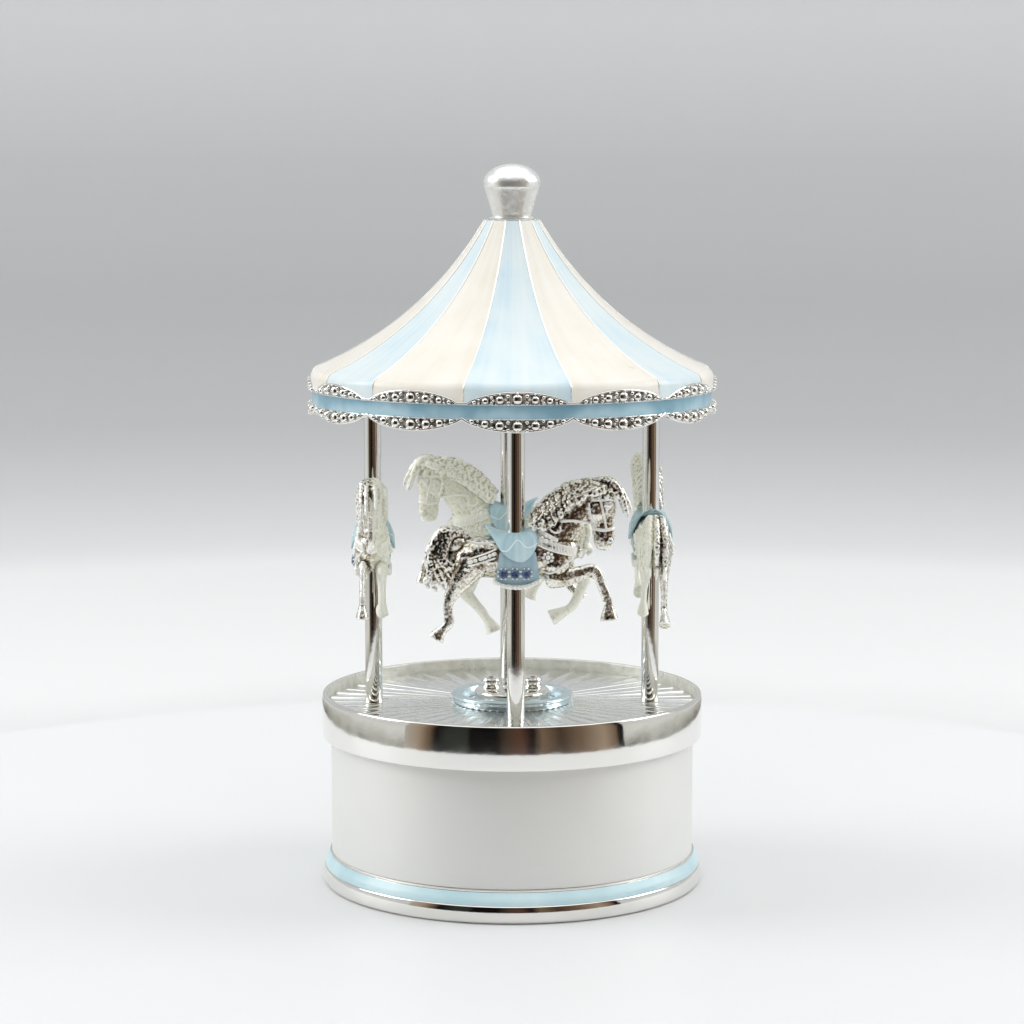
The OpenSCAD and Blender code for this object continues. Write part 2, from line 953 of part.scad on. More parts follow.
foot_ring();
foot_enamel_band();
drum_shell();
bottom_plate();
bottom_screws();
drum_top_plate();
bearing_bush();
movement_bedplate();
movement_screws();
cylinder_bracket_inner();
cylinder_bracket_outer();
comb();
comb_screws();
governor_frame();
winding_key();
winding_arbor();
spring_barrel();
mainspring();
crown_wheel();
output_shaft();
thrust_washer();
lid_rim();
turntable_deck();
turntable_hub();
hub_ring();
hub_screws();
pole_front();
pole_right();
pole_back();
pole_left();
pole_foot_nuts();
pole_top_nuts();
horse_front();
horse_right();
horse_back();
horse_left();
saddle_front();
saddle_right();
saddle_back();
saddle_left();
saddle_crystals();
canopy_shell();
canopy_enamel_blue();
canopy_enamel_cream();
valance_enamel_band();
canopy_plate();
finial();
finial_stud();
finial_nut();
pinned_cylinder();
cylinder_pins();
cylinder_arbor();
cylinder_pinion();
cylinder_gear();
governor_arbor();
governor_pinion();
worm_wheel();
governor_worm();
governor_fly();
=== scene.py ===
"""Carousel music box: the visual model, its studio and its camera.

Sizes are in millimetres, and MM turns them into metres where they reach Blender.
Z is up, the turning axis is the Z axis and the front horse stands at -Y.
"""
import math
import random

import bmesh
import bpy
from mathutils import Matrix, Vector, noise
from mathutils.bvhtree import BVHTree


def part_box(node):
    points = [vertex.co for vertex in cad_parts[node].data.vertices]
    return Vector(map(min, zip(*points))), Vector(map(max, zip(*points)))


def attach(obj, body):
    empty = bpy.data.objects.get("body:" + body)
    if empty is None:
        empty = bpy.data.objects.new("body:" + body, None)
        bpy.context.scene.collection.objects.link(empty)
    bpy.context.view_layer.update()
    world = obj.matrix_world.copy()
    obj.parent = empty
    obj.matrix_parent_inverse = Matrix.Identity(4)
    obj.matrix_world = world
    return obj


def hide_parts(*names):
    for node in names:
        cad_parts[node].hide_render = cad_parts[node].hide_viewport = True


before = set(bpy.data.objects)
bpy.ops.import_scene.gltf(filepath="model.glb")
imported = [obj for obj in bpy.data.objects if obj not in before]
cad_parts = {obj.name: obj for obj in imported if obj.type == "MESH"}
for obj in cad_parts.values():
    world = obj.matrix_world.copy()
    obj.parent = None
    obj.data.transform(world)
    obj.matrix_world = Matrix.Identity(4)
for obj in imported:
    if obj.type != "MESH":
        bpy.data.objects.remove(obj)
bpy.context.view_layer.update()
scene = bpy.context.scene

MM = 0.001


# ---- the frame's measures ----

def extent(node):
    """Largest distance from the axis, lowest z and highest z of a CAD node."""
    lo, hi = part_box(node)
    return max(-lo.x, hi.x, -lo.y, hi.y) / MM, lo.z / MM, hi.z / MM


FOOT_R, _, _ = extent("foot_ring")
DRUM_R, DRUM_Z0, DRUM_TOP = extent("drum_shell")
LID_R, LID_Z0, LID_TOP = extent("lid_rim")
DECK_R, DECK_Z0, DECK_TOP = extent("turntable_deck")
HUB_RING_R, _, HUB_RING_TOP = extent("hub_ring")
HUB_R, _, HUB_TOP = extent("turntable_hub")
SCREW_OUT, SCREW_Z0, SCREW_TOP = extent("hub_screws")
POLE_OUT, POLE_Z0, POLE_Z1 = extent("pole_front")
_, _, PLATE_TOP = extent("canopy_plate")
CANOPY_R, SKIRT_Z0, _ = extent("canopy_shell")
BAND_R, BAND_Z0, BAND_Z1 = extent("valance_enamel_band")
FINIAL_R, CANOPY_TOP, TOTAL_H = extent("finial")

POLE_R = (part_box("pole_front")[1].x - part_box("pole_front")[0].x) / MM / 2
POLE_RING_R = POLE_OUT - POLE_R
SIDES = {"front": 0, "right": 90, "back": 180, "left": 270}
LOBES = 12                                   # beaded lenses round the eave
LOBE_DEG = 360 / LOBES
SEAM_SIDE = (14.5, 42.5, 64.5, 96, 120, 143, 167)     # seams from the middle of the front panel, one side
SEAMS = [*SEAM_SIDE, *(360 - a for a in reversed(SEAM_SIDE))]
FRONT = 270


# ---- shapes ----

class Shape:
    """Vertices and faces in millimetres, gathered before they become one mesh."""

    def __init__(self):
        self.verts, self.faces, self.slots = [], [], []

    def add(self, verts, faces, slot=0):
        base = len(self.verts)
        self.verts += [Vector(v) for v in verts]
        self.faces += [[base + i for i in f] for f in faces]
        self.slots += [slot] * len(faces)
        return self

    def grid(self, rows, slot=0, ring=False, loop=False):
        """Joins rows of points with quads; ring closes each row, loop joins the last row to the first."""
        n, m = len(rows), len(rows[0])
        verts = [p for row in rows for p in row]
        faces = []
        for i in range(n if loop else n - 1):
            for j in range(m if ring else m - 1):
                a, b = i * m + j, i * m + (j + 1) % m
                c, d = (i + 1) % n * m + (j + 1) % m, (i + 1) % n * m + j
                faces.append([a, b, c, d])
        return self.add(verts, faces, slot)

    def revolve(self, profile, segments, slot=0, closed=True):
        """Turns (r, z) points round the axis.

        profile is a list, or a function of the angle in degrees; segments is a count, or a list of angles.
        """
        turns = segments if isinstance(segments, list) else [360 * k / segments for k in range(segments)]
        outlines = [profile(a) if callable(profile) else profile for a in turns]
        rows = [[polar(o[i][0], a, o[i][1]) for a, o in zip(turns, outlines)]
                for i in range(len(outlines[0]))]
        return self.grid(rows, slot, ring=True, loop=closed)

    def tube(self, keys, sides=12, slot=0, flat_end=False, steps=4, across=(0, 1, 0)):
        """A bar through keys (x, y, z, half_width, half_height); half_width lies along across."""
        keys = spline(keys, steps) if len(keys) > 2 else keys
        mids = [Vector(k[:3]) for k in keys]
        rings = []
        for i, k in enumerate(keys):
            ahead = (mids[min(i + 1, len(mids) - 1)] - mids[max(i - 1, 0)]).normalized()
            side = Vector(across)
            side = (side - ahead * side.dot(ahead)).normalized()
            rings.append((mids[i], ahead, side, ahead.cross(side), k[3], k[4]))
        first, last = rings[0], rings[-1]
        dome = [(math.sin(t), math.cos(t)) for t in (math.radians(a) for a in (80, 55, 28))]
        head = [(first[0] - first[1] * min(first[4:]) * s, *first[1:4], first[4] * c, first[5] * c)
                for s, c in dome]
        tail = [(last[0] + last[1] * min(last[4:]) * s, *last[1:4], last[4] * c, last[5] * c)
                for s, c in reversed(dome)]
        if flat_end:
            tail = [(last[0], *last[1:4], last[4] * 0.9, last[5] * 0.9)]
        rows = []
        for mid, _, side, up, w, h in head + rings + tail:
            rows.append([mid + side * (w * math.cos(t)) + up * (h * math.sin(t))
                         for t in (2 * math.pi * j / sides for j in range(sides))])
        self.grid(rows, slot, ring=True)
        base = len(self.verts) - len(rows) * sides
        self.faces += [list(range(base + sides - 1, base - 1, -1)),
                       list(range(len(self.verts) - sides, len(self.verts)))]
        self.slots += [slot, slot]
        return self

    def ball(self, at, radius, slot=0, squash=(1, 1, 1), rings=7, sides=14):
        """A sphere or, with squash, an egg shape along the axes."""
        rows = []
        for i in range(rings + 1):
            t = math.pi * (0.02 + 0.96 * i / rings)
            rows.append([(at[0] + radius * squash[0] * math.sin(t) * math.cos(p),
                          at[1] + radius * squash[1] * math.sin(t) * math.sin(p),
                          at[2] + radius * squash[2] * math.cos(t))
                         for p in (2 * math.pi * j / sides for j in range(sides))])
        base = len(self.verts)
        self.grid(rows, slot, ring=True)
        self.faces += [list(range(base, base + sides)),
                       list(range(len(self.verts) - 1, len(self.verts) - sides - 1, -1))]
        self.slots += [slot, slot]
        return self

    def moved(self, matrix):
        out = Shape()
        out.add([matrix @ v for v in self.verts], self.faces)
        out.slots = list(self.slots)
        return out

    def paint(self, slot, wanted):
        """Gives a material slot to the faces whose middle, told by its radius and z, is wanted."""
        for f, face in enumerate(self.faces):
            mid = sum((self.verts[i] for i in face), Vector()) / len(face)
            if wanted(math.hypot(mid.x, mid.y), mid.z):
                self.slots[f] = slot

    def join(self, other):
        base = len(self.slots)
        self.add(other.verts, other.faces)
        self.slots[base:] = other.slots
        return self


def polar(r, degrees, z):
    a = math.radians(degrees)
    return (r * math.cos(a), r * math.sin(a), z)


def spline(keys, steps):
    """Catmull-Rom curve through tuples of any length."""
    out = []
    for i in range(len(keys) - 1):
        p0, p1 = keys[max(i - 1, 0)], keys[i]
        p2, p3 = keys[i + 1], keys[min(i + 2, len(keys) - 1)]
        for k in range(steps):
            t = k / steps
            out.append(tuple(
                0.5 * (2 * b + (c - a) * t + (2 * a - 5 * b + 4 * c - d) * t * t
                       + (3 * b - a - 3 * c + d) * t ** 3)
                for a, b, c, d in zip(p0, p1, p2, p3)))
    return out + [tuple(keys[-1])]


def rounded(points, radius, closed=True):
    """Replaces each corner of an outline with a small arc-like curve."""
    out = []
    n, steps = len(points), 4
    for i, p in enumerate(points):
        if not closed and i in (0, n - 1):
            out.append(p)
            continue
        here = Vector(p)
        before, after = Vector(points[i - 1]) - here, Vector(points[(i + 1) % n]) - here
        cut = min(radius, before.length * 0.45, after.length * 0.45)
        a, b = here + before.normalized() * cut, here + after.normalized() * cut
        for k in range(steps + 1):
            t = k / steps
            q = a * (1 - t) ** 2 + here * 2 * t * (1 - t) + b * t * t
            out.append((q.x, q.y))
    return out


def mesh_of(shape, name, materials, sharp=40):
    mesh = bpy.data.meshes.new(name)
    mesh.from_pydata([v * MM for v in shape.verts], [], shape.faces)
    for face, slot in zip(mesh.polygons, shape.slots):
        face.material_index = slot
    bm = bmesh.new()
    bm.from_mesh(mesh)
    bmesh.ops.remove_doubles(bm, verts=bm.verts, dist=1e-7)
    bmesh.ops.recalc_face_normals(bm, faces=bm.faces)
    bm.to_mesh(mesh)
    bm.free()
    for material in materials:
        mesh.materials.append(material)
    return smoothed(mesh, sharp)


def smoothed(mesh, sharp):
    """Shades a mesh smooth, but for edges sharper than an angle in degrees."""
    mesh.shade_smooth()
    mesh.set_sharp_from_angle(angle=math.radians(sharp))
    return mesh


def gathered(name, parts):
    """One mesh of several, given with the material slot of each."""
    bm = bmesh.new()
    for mesh, slot in parts:
        start = len(bm.faces)
        bm.from_mesh(mesh)
        bm.faces.ensure_lookup_table()
        for face in bm.faces[start:]:
            face.material_index = slot
    whole = bpy.data.meshes.new(name)
    bm.to_mesh(whole)
    bm.free()
    return whole


def linked(name, data):
    obj = bpy.data.objects.new(name, data)
    scene.collection.objects.link(obj)
    return obj


def piece(name, shape, materials, body, stands_for, sharp=40):
    """Makes one visible piece, rides it on its body and hides the CAD nodes it stands for."""
    settle(linked(name, mesh_of(shape, name, materials, sharp)), body, stands_for)


def settle(obj, body, stands_for):
    bpy.context.view_layer.update()
    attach(obj, body)
    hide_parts(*stands_for)


# ---- materials ----

class Finish:
    """A node material with short helpers for its graph."""

    def __init__(self, name, **sockets):
        self.material = bpy.data.materials.new(name)
        self.material.use_nodes = True
        self.tree = self.material.node_tree
        self.shader = self.tree.nodes["Principled BSDF"]
        for key, value in sockets.items():
            self.shader.inputs[key.replace("_", " ")].default_value = value
        self.place = self.node("ShaderNodeTexCoord").outputs["Object"]

    def node(self, kind, **inputs):
        made = self.tree.nodes.new(kind)
        for key, value in inputs.items():
            self.feed(made.inputs[key.replace("_", " ")], value)
        return made

    def feed(self, socket, value):
        if isinstance(value, bpy.types.NodeSocket):
            self.tree.links.new(value, socket)
        else:
            socket.default_value = value

    def math(self, operation, a, b=0.0):
        made = self.tree.nodes.new("ShaderNodeMath")
        made.operation = operation
        self.feed(made.inputs[0], a)
        self.feed(made.inputs[1], b)
        return made.outputs[0]

    def noise(self, scale, detail=3.0, vector=None):
        return self.node("ShaderNodeTexNoise", Vector=vector or self.place, Scale=scale,
                         Detail=detail, Roughness=0.55).outputs["Fac"]

    def around(self, turns=1.0, height=1.0, outward=1.0):
        """Cylinder coordinates: angle, distance from the axis and height, each scaled."""
        parts = self.node("ShaderNodeSeparateXYZ", Vector=self.place)
        angle = self.math("ARCTAN2", parts.outputs["Y"], parts.outputs["X"])
        across = self.math("SQRT", self.math("ADD", self.math("POWER", parts.outputs["X"], 2.0),
                                             self.math("POWER", parts.outputs["Y"], 2.0)))
        return self.node("ShaderNodeCombineXYZ", X=self.math("MULTIPLY", angle, turns),
                         Y=self.math("MULTIPLY", across, outward),
                         Z=self.math("MULTIPLY", parts.outputs["Z"], height)).outputs[0]

    def ramp(self, fac, *stops):
        made = self.node("ShaderNodeValToRGB", Fac=fac)
        elements = made.color_ramp.elements
        while len(elements) < len(stops):
            elements.new(0.5)
        for element, (at, colour) in zip(elements, stops):
            element.position = at
            element.color = (*colour, 1) if len(colour) == 3 else colour
        return made.outputs["Color"]

    def colour(self, fac, *stops):
        self.feed(self.shader.inputs["Base Color"], self.ramp(fac, *stops))
        return self

    def remap(self, value, low, high, start=0.0, end=1.0):
        """Carries start..end over to low..high, held at both ends."""
        made = self.node("ShaderNodeMapRange", Value=value)
        for key, number in (("From Min", start), ("From Max", end), ("To Min", low), ("To Max", high)):
            made.inputs[key].default_value = number
        return made.outputs[0]

    def part(self, axis, vector=None):
        return self.node("ShaderNodeSeparateXYZ", Vector=vector or self.place).outputs[axis]

    def rough(self, fac, low, high):
        self.feed(self.shader.inputs["Roughness"], self.remap(fac, low, high))
        return self

    def bump(self, height, strength, distance=0.0001):
        made = self.node("ShaderNodeBump", Height=height, Strength=strength, Distance=distance)
        self.feed(self.shader.inputs["Normal"], made.outputs[0])
        return self


def polished_silver():
    f = Finish("polished_silver", Metallic=1.0)
    wander = f.noise(55.0, 2.0)
    f.colour(wander, (0.3, (0.83, 0.82, 0.785)), (0.7, (0.88, 0.87, 0.84)))
    f.rough(f.noise(420.0, 4.0), 0.035, 0.10)
    return f.bump(f.noise(260.0, 3.0), 0.10, 0.00012).material


def satin_silver():
    f = Finish("satin_silver", Metallic=0.85)
    brushed = f.noise(1.0, 4.0, f.around(turns=6.0, height=5200.0, outward=40.0))
    f.colour(f.noise(30.0, 2.0), (0.25, (0.86, 0.86, 0.84)), (0.75, (0.91, 0.91, 0.885)))
    f.rough(brushed, 0.60, 0.70)
    return f.bump(f.math("ADD", brushed, f.noise(3000.0, 2.0)), 0.12, 0.00003).material


def fluted_silver():
    f = Finish("fluted_silver", Metallic=1.0)
    f.colour(f.noise(60.0, 3.0), (0.3, (0.84, 0.86, 0.85)), (0.7, (0.92, 0.925, 0.90)))
    f.rough(f.noise(500.0, 3.0), 0.10, 0.22)
    return f.bump(f.noise(900.0, 3.0), 0.12, 0.00004).material


def seam_silver():
    """Pale, nearly matt silver of the wires between the panels."""
    f = Finish("seam_silver", Metallic=0.75)
    edge = f.node("ShaderNodeNewGeometry").outputs["Pointiness"]
    f.colour(edge, (0.42, (0.78, 0.7254, 0.624)), (0.485, (0.62, 0.60, 0.53)),
             (0.53, (0.93, 0.91, 0.85)), (0.56, (0.98, 0.97, 0.93)))
    f.rough(f.noise(900.0, 3.0), 0.30, 0.42)
    return f.bump(f.noise(1700.0, 4.0), 0.1, 0.0001).material


def horse_silver():
    """Cast silver: dark in its low places, partly oxidised patina and partly painted shade, white on ridges,
    paler and rougher on the half towards the axis.
    """
    f = Finish("horse_silver")
    # A paler colour and more roughness on the half towards the axis.
    axis_half = f.remap(f.part("Y"), 0.0, 1.0, -0.0002, 0.0010)
    edge = f.node("ShaderNodeNewGeometry").outputs["Pointiness"]
    speckle = f.math("MULTIPLY", f.math("SUBTRACT", f.noise(1500.0, 4.0), 0.5), 0.085)
    # Pointiness paints the hollows dark: partly the casting's patina, partly painted shade.
    hollow_shade = f.math("ADD", edge, speckle)
    bright = f.ramp(hollow_shade, (0.475, (0.16, 0.135, 0.09)), (0.496, (0.48, 0.43, 0.33)),
                    (0.509, (0.90, 0.88, 0.80)), (0.522, (1.0, 0.99, 0.95)))
    pale = f.ramp(hollow_shade, (0.475, (0.66, 0.65, 0.50)), (0.505, (0.97, 0.965, 0.84)),
                  (0.525, (1.0, 1.0, 0.93)))
    mix = f.tree.nodes.new("ShaderNodeMix")
    mix.data_type = "RGBA"
    for socket, value in ((mix.inputs[0], axis_half), (mix.inputs[6], bright), (mix.inputs[7], pale)):
        f.feed(socket, value)
    f.feed(f.shader.inputs["Base Color"], mix.outputs[2])
    ridge = f.remap(hollow_shade, 0.10, 0.50, 0.500, 0.535)
    soft = f.math("MAXIMUM", ridge, f.math("MULTIPLY", axis_half, 0.62))
    f.feed(f.shader.inputs["Roughness"], soft)
    f.feed(f.shader.inputs["Metallic"], f.math("SUBTRACT", 1.12, f.math("MULTIPLY", soft, 1.2)))
    return f.bump(f.noise(1300.0, 4.0), 0.55, 0.00014).material


def hammered_silver(name, dark, light, metallic=0.95):
    """Bright silver with a soft, slightly pebbled skin."""
    f = Finish(name, Metallic=metallic)
    f.colour(f.noise(500.0, 3.0), (0.35, dark), (0.65, light))
    f.rough(f.noise(800.0, 3.0), 0.22, 0.38)
    return f.bump(f.noise(750.0, 3.0), 0.28, 0.00025).material


def oxidised_silver(name, dark, light, metallic):
    """The ground between the beads: silver left dark in its low places."""
    f = Finish(name, Metallic=metallic)
    f.colour(f.noise(1100.0, 4.0), (0.38, dark), (0.62, light))
    f.rough(f.noise(700.0, 2.0), 0.25, 0.45)
    return f.bump(f.noise(1500.0, 3.0), 0.6, 0.00012).material


def enamel(name, deep, mid, light, streaks=14.0, shade_heights=None):
    """Pearl enamel brushed on along the panel, glossy and slightly uneven.

    fade gives two heights in metres between which the colour goes from light up to deep, a painted shade
    that darkens towards the top.
    """
    f = Finish(name, Metallic=0.0, Coat_Weight=0.15, Coat_Roughness=0.08, Specular_IOR_Level=0.25)
    strokes = f.noise(1.0, 2.0, f.around(turns=streaks, height=30.0, outward=30.0))
    cloud = f.noise(90.0, 3.0)
    mix = f.math("ADD", f.math("MULTIPLY", strokes, 0.5), f.math("MULTIPLY", cloud, 0.5))
    if shade_heights:
        mix = f.math("ADD", mix, f.remap(f.part("Z"), 0.16, -0.06, *shade_heights))
    f.colour(mix, (0.34, deep), (0.5, mid), (0.66, light))
    f.rough(cloud, 0.24, 0.36)
    return f.bump(f.noise(600.0, 2.0), 0.06, 0.00006).material


def crystal():
    f = Finish("blue_crystal", Metallic=0.0, Coat_Weight=1.0, Coat_Roughness=0.02, IOR=1.6)
    f.colour(f.noise(1500.0, 2.0), (0.35, (0.012, 0.03, 0.08)), (0.65, (0.07, 0.13, 0.26)))
    f.rough(f.noise(500.0, 1.0), 0.02, 0.06)
    return f.material


def turned_metal(name, dark, light, low, high, metallic=1.0):
    """Lathe-turned metal: fine rings round the axis and a slow tarnish."""
    f = Finish(name, Metallic=metallic)
    rings = f.noise(1.0, 3.0, f.around(turns=2.0, height=1500.0, outward=1500.0))
    f.colour(f.noise(220.0, 4.0), (0.3, dark), (0.7, light))
    f.rough(rings, low, high)
    return f.bump(rings, 0.15, 0.00004).material


SILVER = polished_silver()
SATIN = satin_silver()
FLUTED = fluted_silver()
CAST = horse_silver()
DARK = oxidised_silver("oxidised_silver", (0.12, 0.11, 0.09), (0.78, 0.76, 0.70), 0.7)
GRAINED = oxidised_silver("grained_silver", (0.40, 0.38, 0.33), (0.99, 0.98, 0.94), 0.35)
SEAM = seam_silver()
LIP = hammered_silver("lip_silver", (0.78, 0.77, 0.69), (0.92, 0.91, 0.84), 0.3)
HAMMERED = hammered_silver("hammered_silver", (0.90, 0.90, 0.87), (0.97, 0.97, 0.94), 0.8)
# The hub collar's pale blue tint is a painted reflection of the sky on its flat top.
SKY_TINTED_RING = hammered_silver("ring_silver_painted_sky", (0.66, 0.79, 0.84), (0.76, 0.87, 0.91))
PALE_BLUE = enamel("pale_blue_enamel", (0.59, 0.73, 0.80), (0.69, 0.785, 0.805), (0.75, 0.81, 0.815))
CREAM = enamel("cream_enamel", (0.80, 0.75, 0.645), (0.84, 0.80, 0.72), (0.86, 0.835, 0.765), 9.0)
FOOT_BLUE = enamel("foot_enamel", (0.47, 0.66, 0.72), (0.56, 0.74, 0.78), (0.65, 0.81, 0.84), 3.0)
# Painted shade: the valance band is coloured deeper towards its top.
MID_BLUE = enamel("blue_enamel", (0.17, 0.33, 0.42), (0.23, 0.40, 0.49), (0.42, 0.60, 0.68), 5.0,
                  shade_heights=(BAND_Z0 * MM, BAND_Z1 * MM))
SADDLE_BLUE = enamel("saddle_enamel", (0.33, 0.54, 0.62), (0.46, 0.63, 0.68), (0.60, 0.75, 0.78), 6.0)
CLOTH_BLUE = enamel("cloth_enamel", (0.26, 0.38, 0.44), (0.33, 0.46, 0.52), (0.42, 0.55, 0.60), 6.0)
PIPING = enamel("piping_enamel", (0.66, 0.80, 0.86), (0.74, 0.86, 0.90), (0.82, 0.91, 0.93))
CRYSTAL = crystal()
STEEL = turned_metal("steel", (0.42, 0.42, 0.42), (0.62, 0.62, 0.61), 0.22, 0.42)
BRASS = turned_metal("brass", (0.62, 0.43, 0.17), (0.80, 0.60, 0.27), 0.20, 0.40)
ZINC = turned_metal("zinc_casting", (0.34, 0.34, 0.33), (0.50, 0.50, 0.48), 0.45, 0.65, 0.85)
NYLON = turned_metal("nylon", (0.78, 0.77, 0.73), (0.86, 0.85, 0.82), 0.35, 0.5, 0.0)


# ---- base: foot and drum ----

def build_base():
    seat = DRUM_Z0                       # the drum wall stands on the foot here
    inside, shelf_in, shelf_z = 37.6, 33.5, 5.0
    band_top, band_mid, band_low = (39.65, 6.5), (40.45, 5.0), (40.88, 3.75)
    foot = Shape().revolve(
        [(inside, 0)] + spline([(FOOT_R - 1.0, 0.0), (FOOT_R - 0.35, 0.35), (FOOT_R, 1.5),
                              (FOOT_R - 0.08, 2.8), (FOOT_R - 0.3, 3.55)], 5)
        + [(band_low[0] - 0.08, band_low[1]), (band_low[0] - 0.4, band_low[1] + 0.15),
           (band_mid[0] - 0.4, band_mid[1]), (band_top[0] - 0.25, band_top[1] - 0.15),
           (band_top[0] + 0.02, band_top[1]), (band_top[0] + 0.05, band_top[1] + 0.2),
           (DRUM_R + 0.12, seat), (shelf_in, seat), (shelf_in, shelf_z), (inside, shelf_z)], 220)
    piece("foot", foot, [SILVER], "base", ["foot_ring"], sharp=50)
    crown = spline([(band_low[0] - 0.1, band_low[1] + 0.1), (band_mid[0] + 0.16, band_mid[1] - 0.05),
                    (band_top[0] - 0.02, band_top[1] - 0.1)], 6)
    band = Shape().revolve(crown + [(band_top[0] - 0.3, band_top[1] - 0.2),
                                    (band_mid[0] - 0.36, band_mid[1]),
                                    (band_low[0] - 0.36, band_low[1] + 0.2)], 220)
    piece("foot_band", band, [FOOT_BLUE], "base", ["foot_enamel_band"])
    wall = Shape().revolve(rounded([(DRUM_R, seat + 0.05), (DRUM_R, DRUM_TOP), (DRUM_R - 0.8, DRUM_TOP),
                                    (DRUM_R - 0.8, seat + 0.05)], 0.15), 220)
    piece("drum", wall, [SATIN], "base", ["drum_shell"])


# ---- carousel: lid, deck, hub and poles ----

FLUTES = 48
FLUTE_SHARE = 0.17                           # half a ridge's width as a share of the flutes' pitch
FLUTE_STEPS = (-0.5, -0.34, -0.19, -0.168, -0.15, -0.11, -0.055, 0, 0.055, 0.11, 0.15, 0.168, 0.19, 0.34)


def flute_height(degrees, r):
    """Half-round radial ridges, each slightly different, that grow towards the rim."""
    turn = degrees / 360 * FLUTES
    ridge = round(turn) % FLUTES
    across = (turn - round(turn)) / FLUTE_SHARE
    uneven = 0.75 + 0.5 * random.Random(ridge).random()
    lift = 0.12 + 0.20 * (r - HUB_RING_R) / (DECK_R - HUB_RING_R)
    return uneven * lift * math.sqrt(max(0.0, 1 - across * across))


def build_turntable():
    rim = spline([(LID_R - 1.55, LID_Z0), (LID_R - 0.35, LID_Z0), (LID_R - 0.08, LID_Z0 + 0.3),
                  (LID_R, LID_Z0 + 2.5), (LID_R, LID_Z0 + 4.5), (LID_R - 0.06, LID_TOP - 1.2),
                  (LID_R - 0.12, LID_TOP - 0.45), (LID_R - 0.3, LID_TOP - 0.12),
                  (LID_R - 0.65, LID_TOP), (LID_R - 1.0, LID_TOP - 0.05)], 5)
    rim += [(LID_R - 1.15, LID_TOP - 0.2), (LID_R - 1.2, LID_TOP - 0.4), (LID_R - 1.2, DECK_TOP - 1),
            (LID_R - 1.55, DECK_TOP - 1)]
    lid = Shape().revolve(rim, 288)
    lid.paint(1, lambda r, z: r < LID_R - 1.05 and z > DECK_TOP - 1)
    piece("lid", lid, [SILVER, LIP], "carousel", ["lid_rim"], sharp=60)

    radii = [HUB_RING_R - 1.0, HUB_RING_R + 0.1] + [
        HUB_RING_R + (DECK_R - 0.05 - HUB_RING_R) * k / 9 for k in range(1, 10)]

    def fluted(degrees):
        top = [(r, DECK_TOP - 0.2 + flute_height(degrees, r)) for r in radii]
        return top + [(DECK_R - 0.05, DECK_Z0), (HUB_RING_R - 1.0, DECK_Z0)]
    turns = [360 / FLUTES * (k + step) for k in range(FLUTES) for step in FLUTE_STEPS]
    deck = Shape().revolve(fluted, turns)
    deck.revolve([(0.01, DECK_TOP - 0.1), (HUB_RING_R - 1.0, DECK_TOP - 0.1),
                  (HUB_RING_R - 1.0, DECK_Z0), (0.01, DECK_Z0)], 96)
    piece("deck", deck, [FLUTED], "carousel", ["turntable_deck"], sharp=65)

    ring = Shape().revolve(rounded([(HUB_RING_R - 0.5, DECK_TOP - 0.1),
                                    (HUB_RING_R - 0.5, HUB_RING_TOP - 0.9), (HUB_RING_R, HUB_RING_TOP - 0.7),
                                    (HUB_RING_R, HUB_RING_TOP - 0.05),
                                    (HUB_RING_R - 2.2, HUB_RING_TOP), (HUB_RING_R - 2.9, DECK_TOP - 0.1)],
                                   0.25), 160)
    piece("hub_collar", ring, [SKY_TINTED_RING], "carousel", ["hub_ring"])
    hub = Shape().revolve(rounded([(0.01, HUB_TOP - 0.5), (2.4, HUB_TOP - 0.5), (2.7, HUB_TOP),
                                   (HUB_R - 0.5, HUB_TOP - 0.1), (HUB_R, HUB_TOP - 0.7),
                                   (HUB_R, DECK_TOP - 0.1), (3.0, DECK_TOP - 0.1), (3.0, DECK_Z0),
                                   (0.01, DECK_Z0)], 0.3), 120, closed=False)
    piece("hub", hub, [SILVER], "carousel", ["turntable_hub"])

    screws = Shape()
    head_r = 2.05
    grooves = 4
    pitch = (SCREW_TOP - SCREW_Z0) / grooves
    outline = [(0.01, SCREW_Z0)]
    for k in range(grooves):
        z = SCREW_Z0 + k * pitch
        outline += [(head_r - 0.42, z + pitch * 0.02), (head_r - 0.08, z + pitch * 0.3),
                    (head_r, z + pitch * 0.5), (head_r - 0.08, z + pitch * 0.7),
                    (head_r - 0.42, z + pitch * 0.98)]
    outline += [(head_r - 0.35, SCREW_TOP), (0.9, SCREW_TOP), (0.8, SCREW_TOP - 0.35),
                (0.01, SCREW_TOP - 0.35)]
    for x in (-(SCREW_OUT - head_r), SCREW_OUT - head_r):
        screws.join(Shape().revolve(outline, 48, closed=False).moved(Matrix.Translation((x, 0, 0))))
    piece("hub_screw_heads", screws, [SILVER], "carousel", ["hub_screws"])

    end_r = 1.2
    bar = Shape().revolve(rounded([(0.01, POLE_Z0 - 0.5), (end_r, POLE_Z0 - 0.5), (end_r, DECK_TOP - 0.25),
                                   (POLE_R, DECK_TOP - 0.25), (POLE_R, PLATE_TOP - 0.8),
                                   (end_r, PLATE_TOP - 0.8), (end_r, POLE_Z1), (0.01, POLE_Z1)],
                                  0.05, closed=False), 64, closed=False)
    mesh = mesh_of(bar, "pole", [SILVER])
    for side, turn in SIDES.items():
        pole = linked(f"bar_{side}", mesh)
        pole.matrix_world = on_pole(turn)
        settle(pole, "carousel", [f"pole_{side}"])


def on_pole(turn, z=0.0):
    return (Matrix.Rotation(math.radians(turn), 4, "Z")
            @ Matrix.Translation((0, -POLE_RING_R * MM, z * MM)))


# ---- carousel: canopy ----

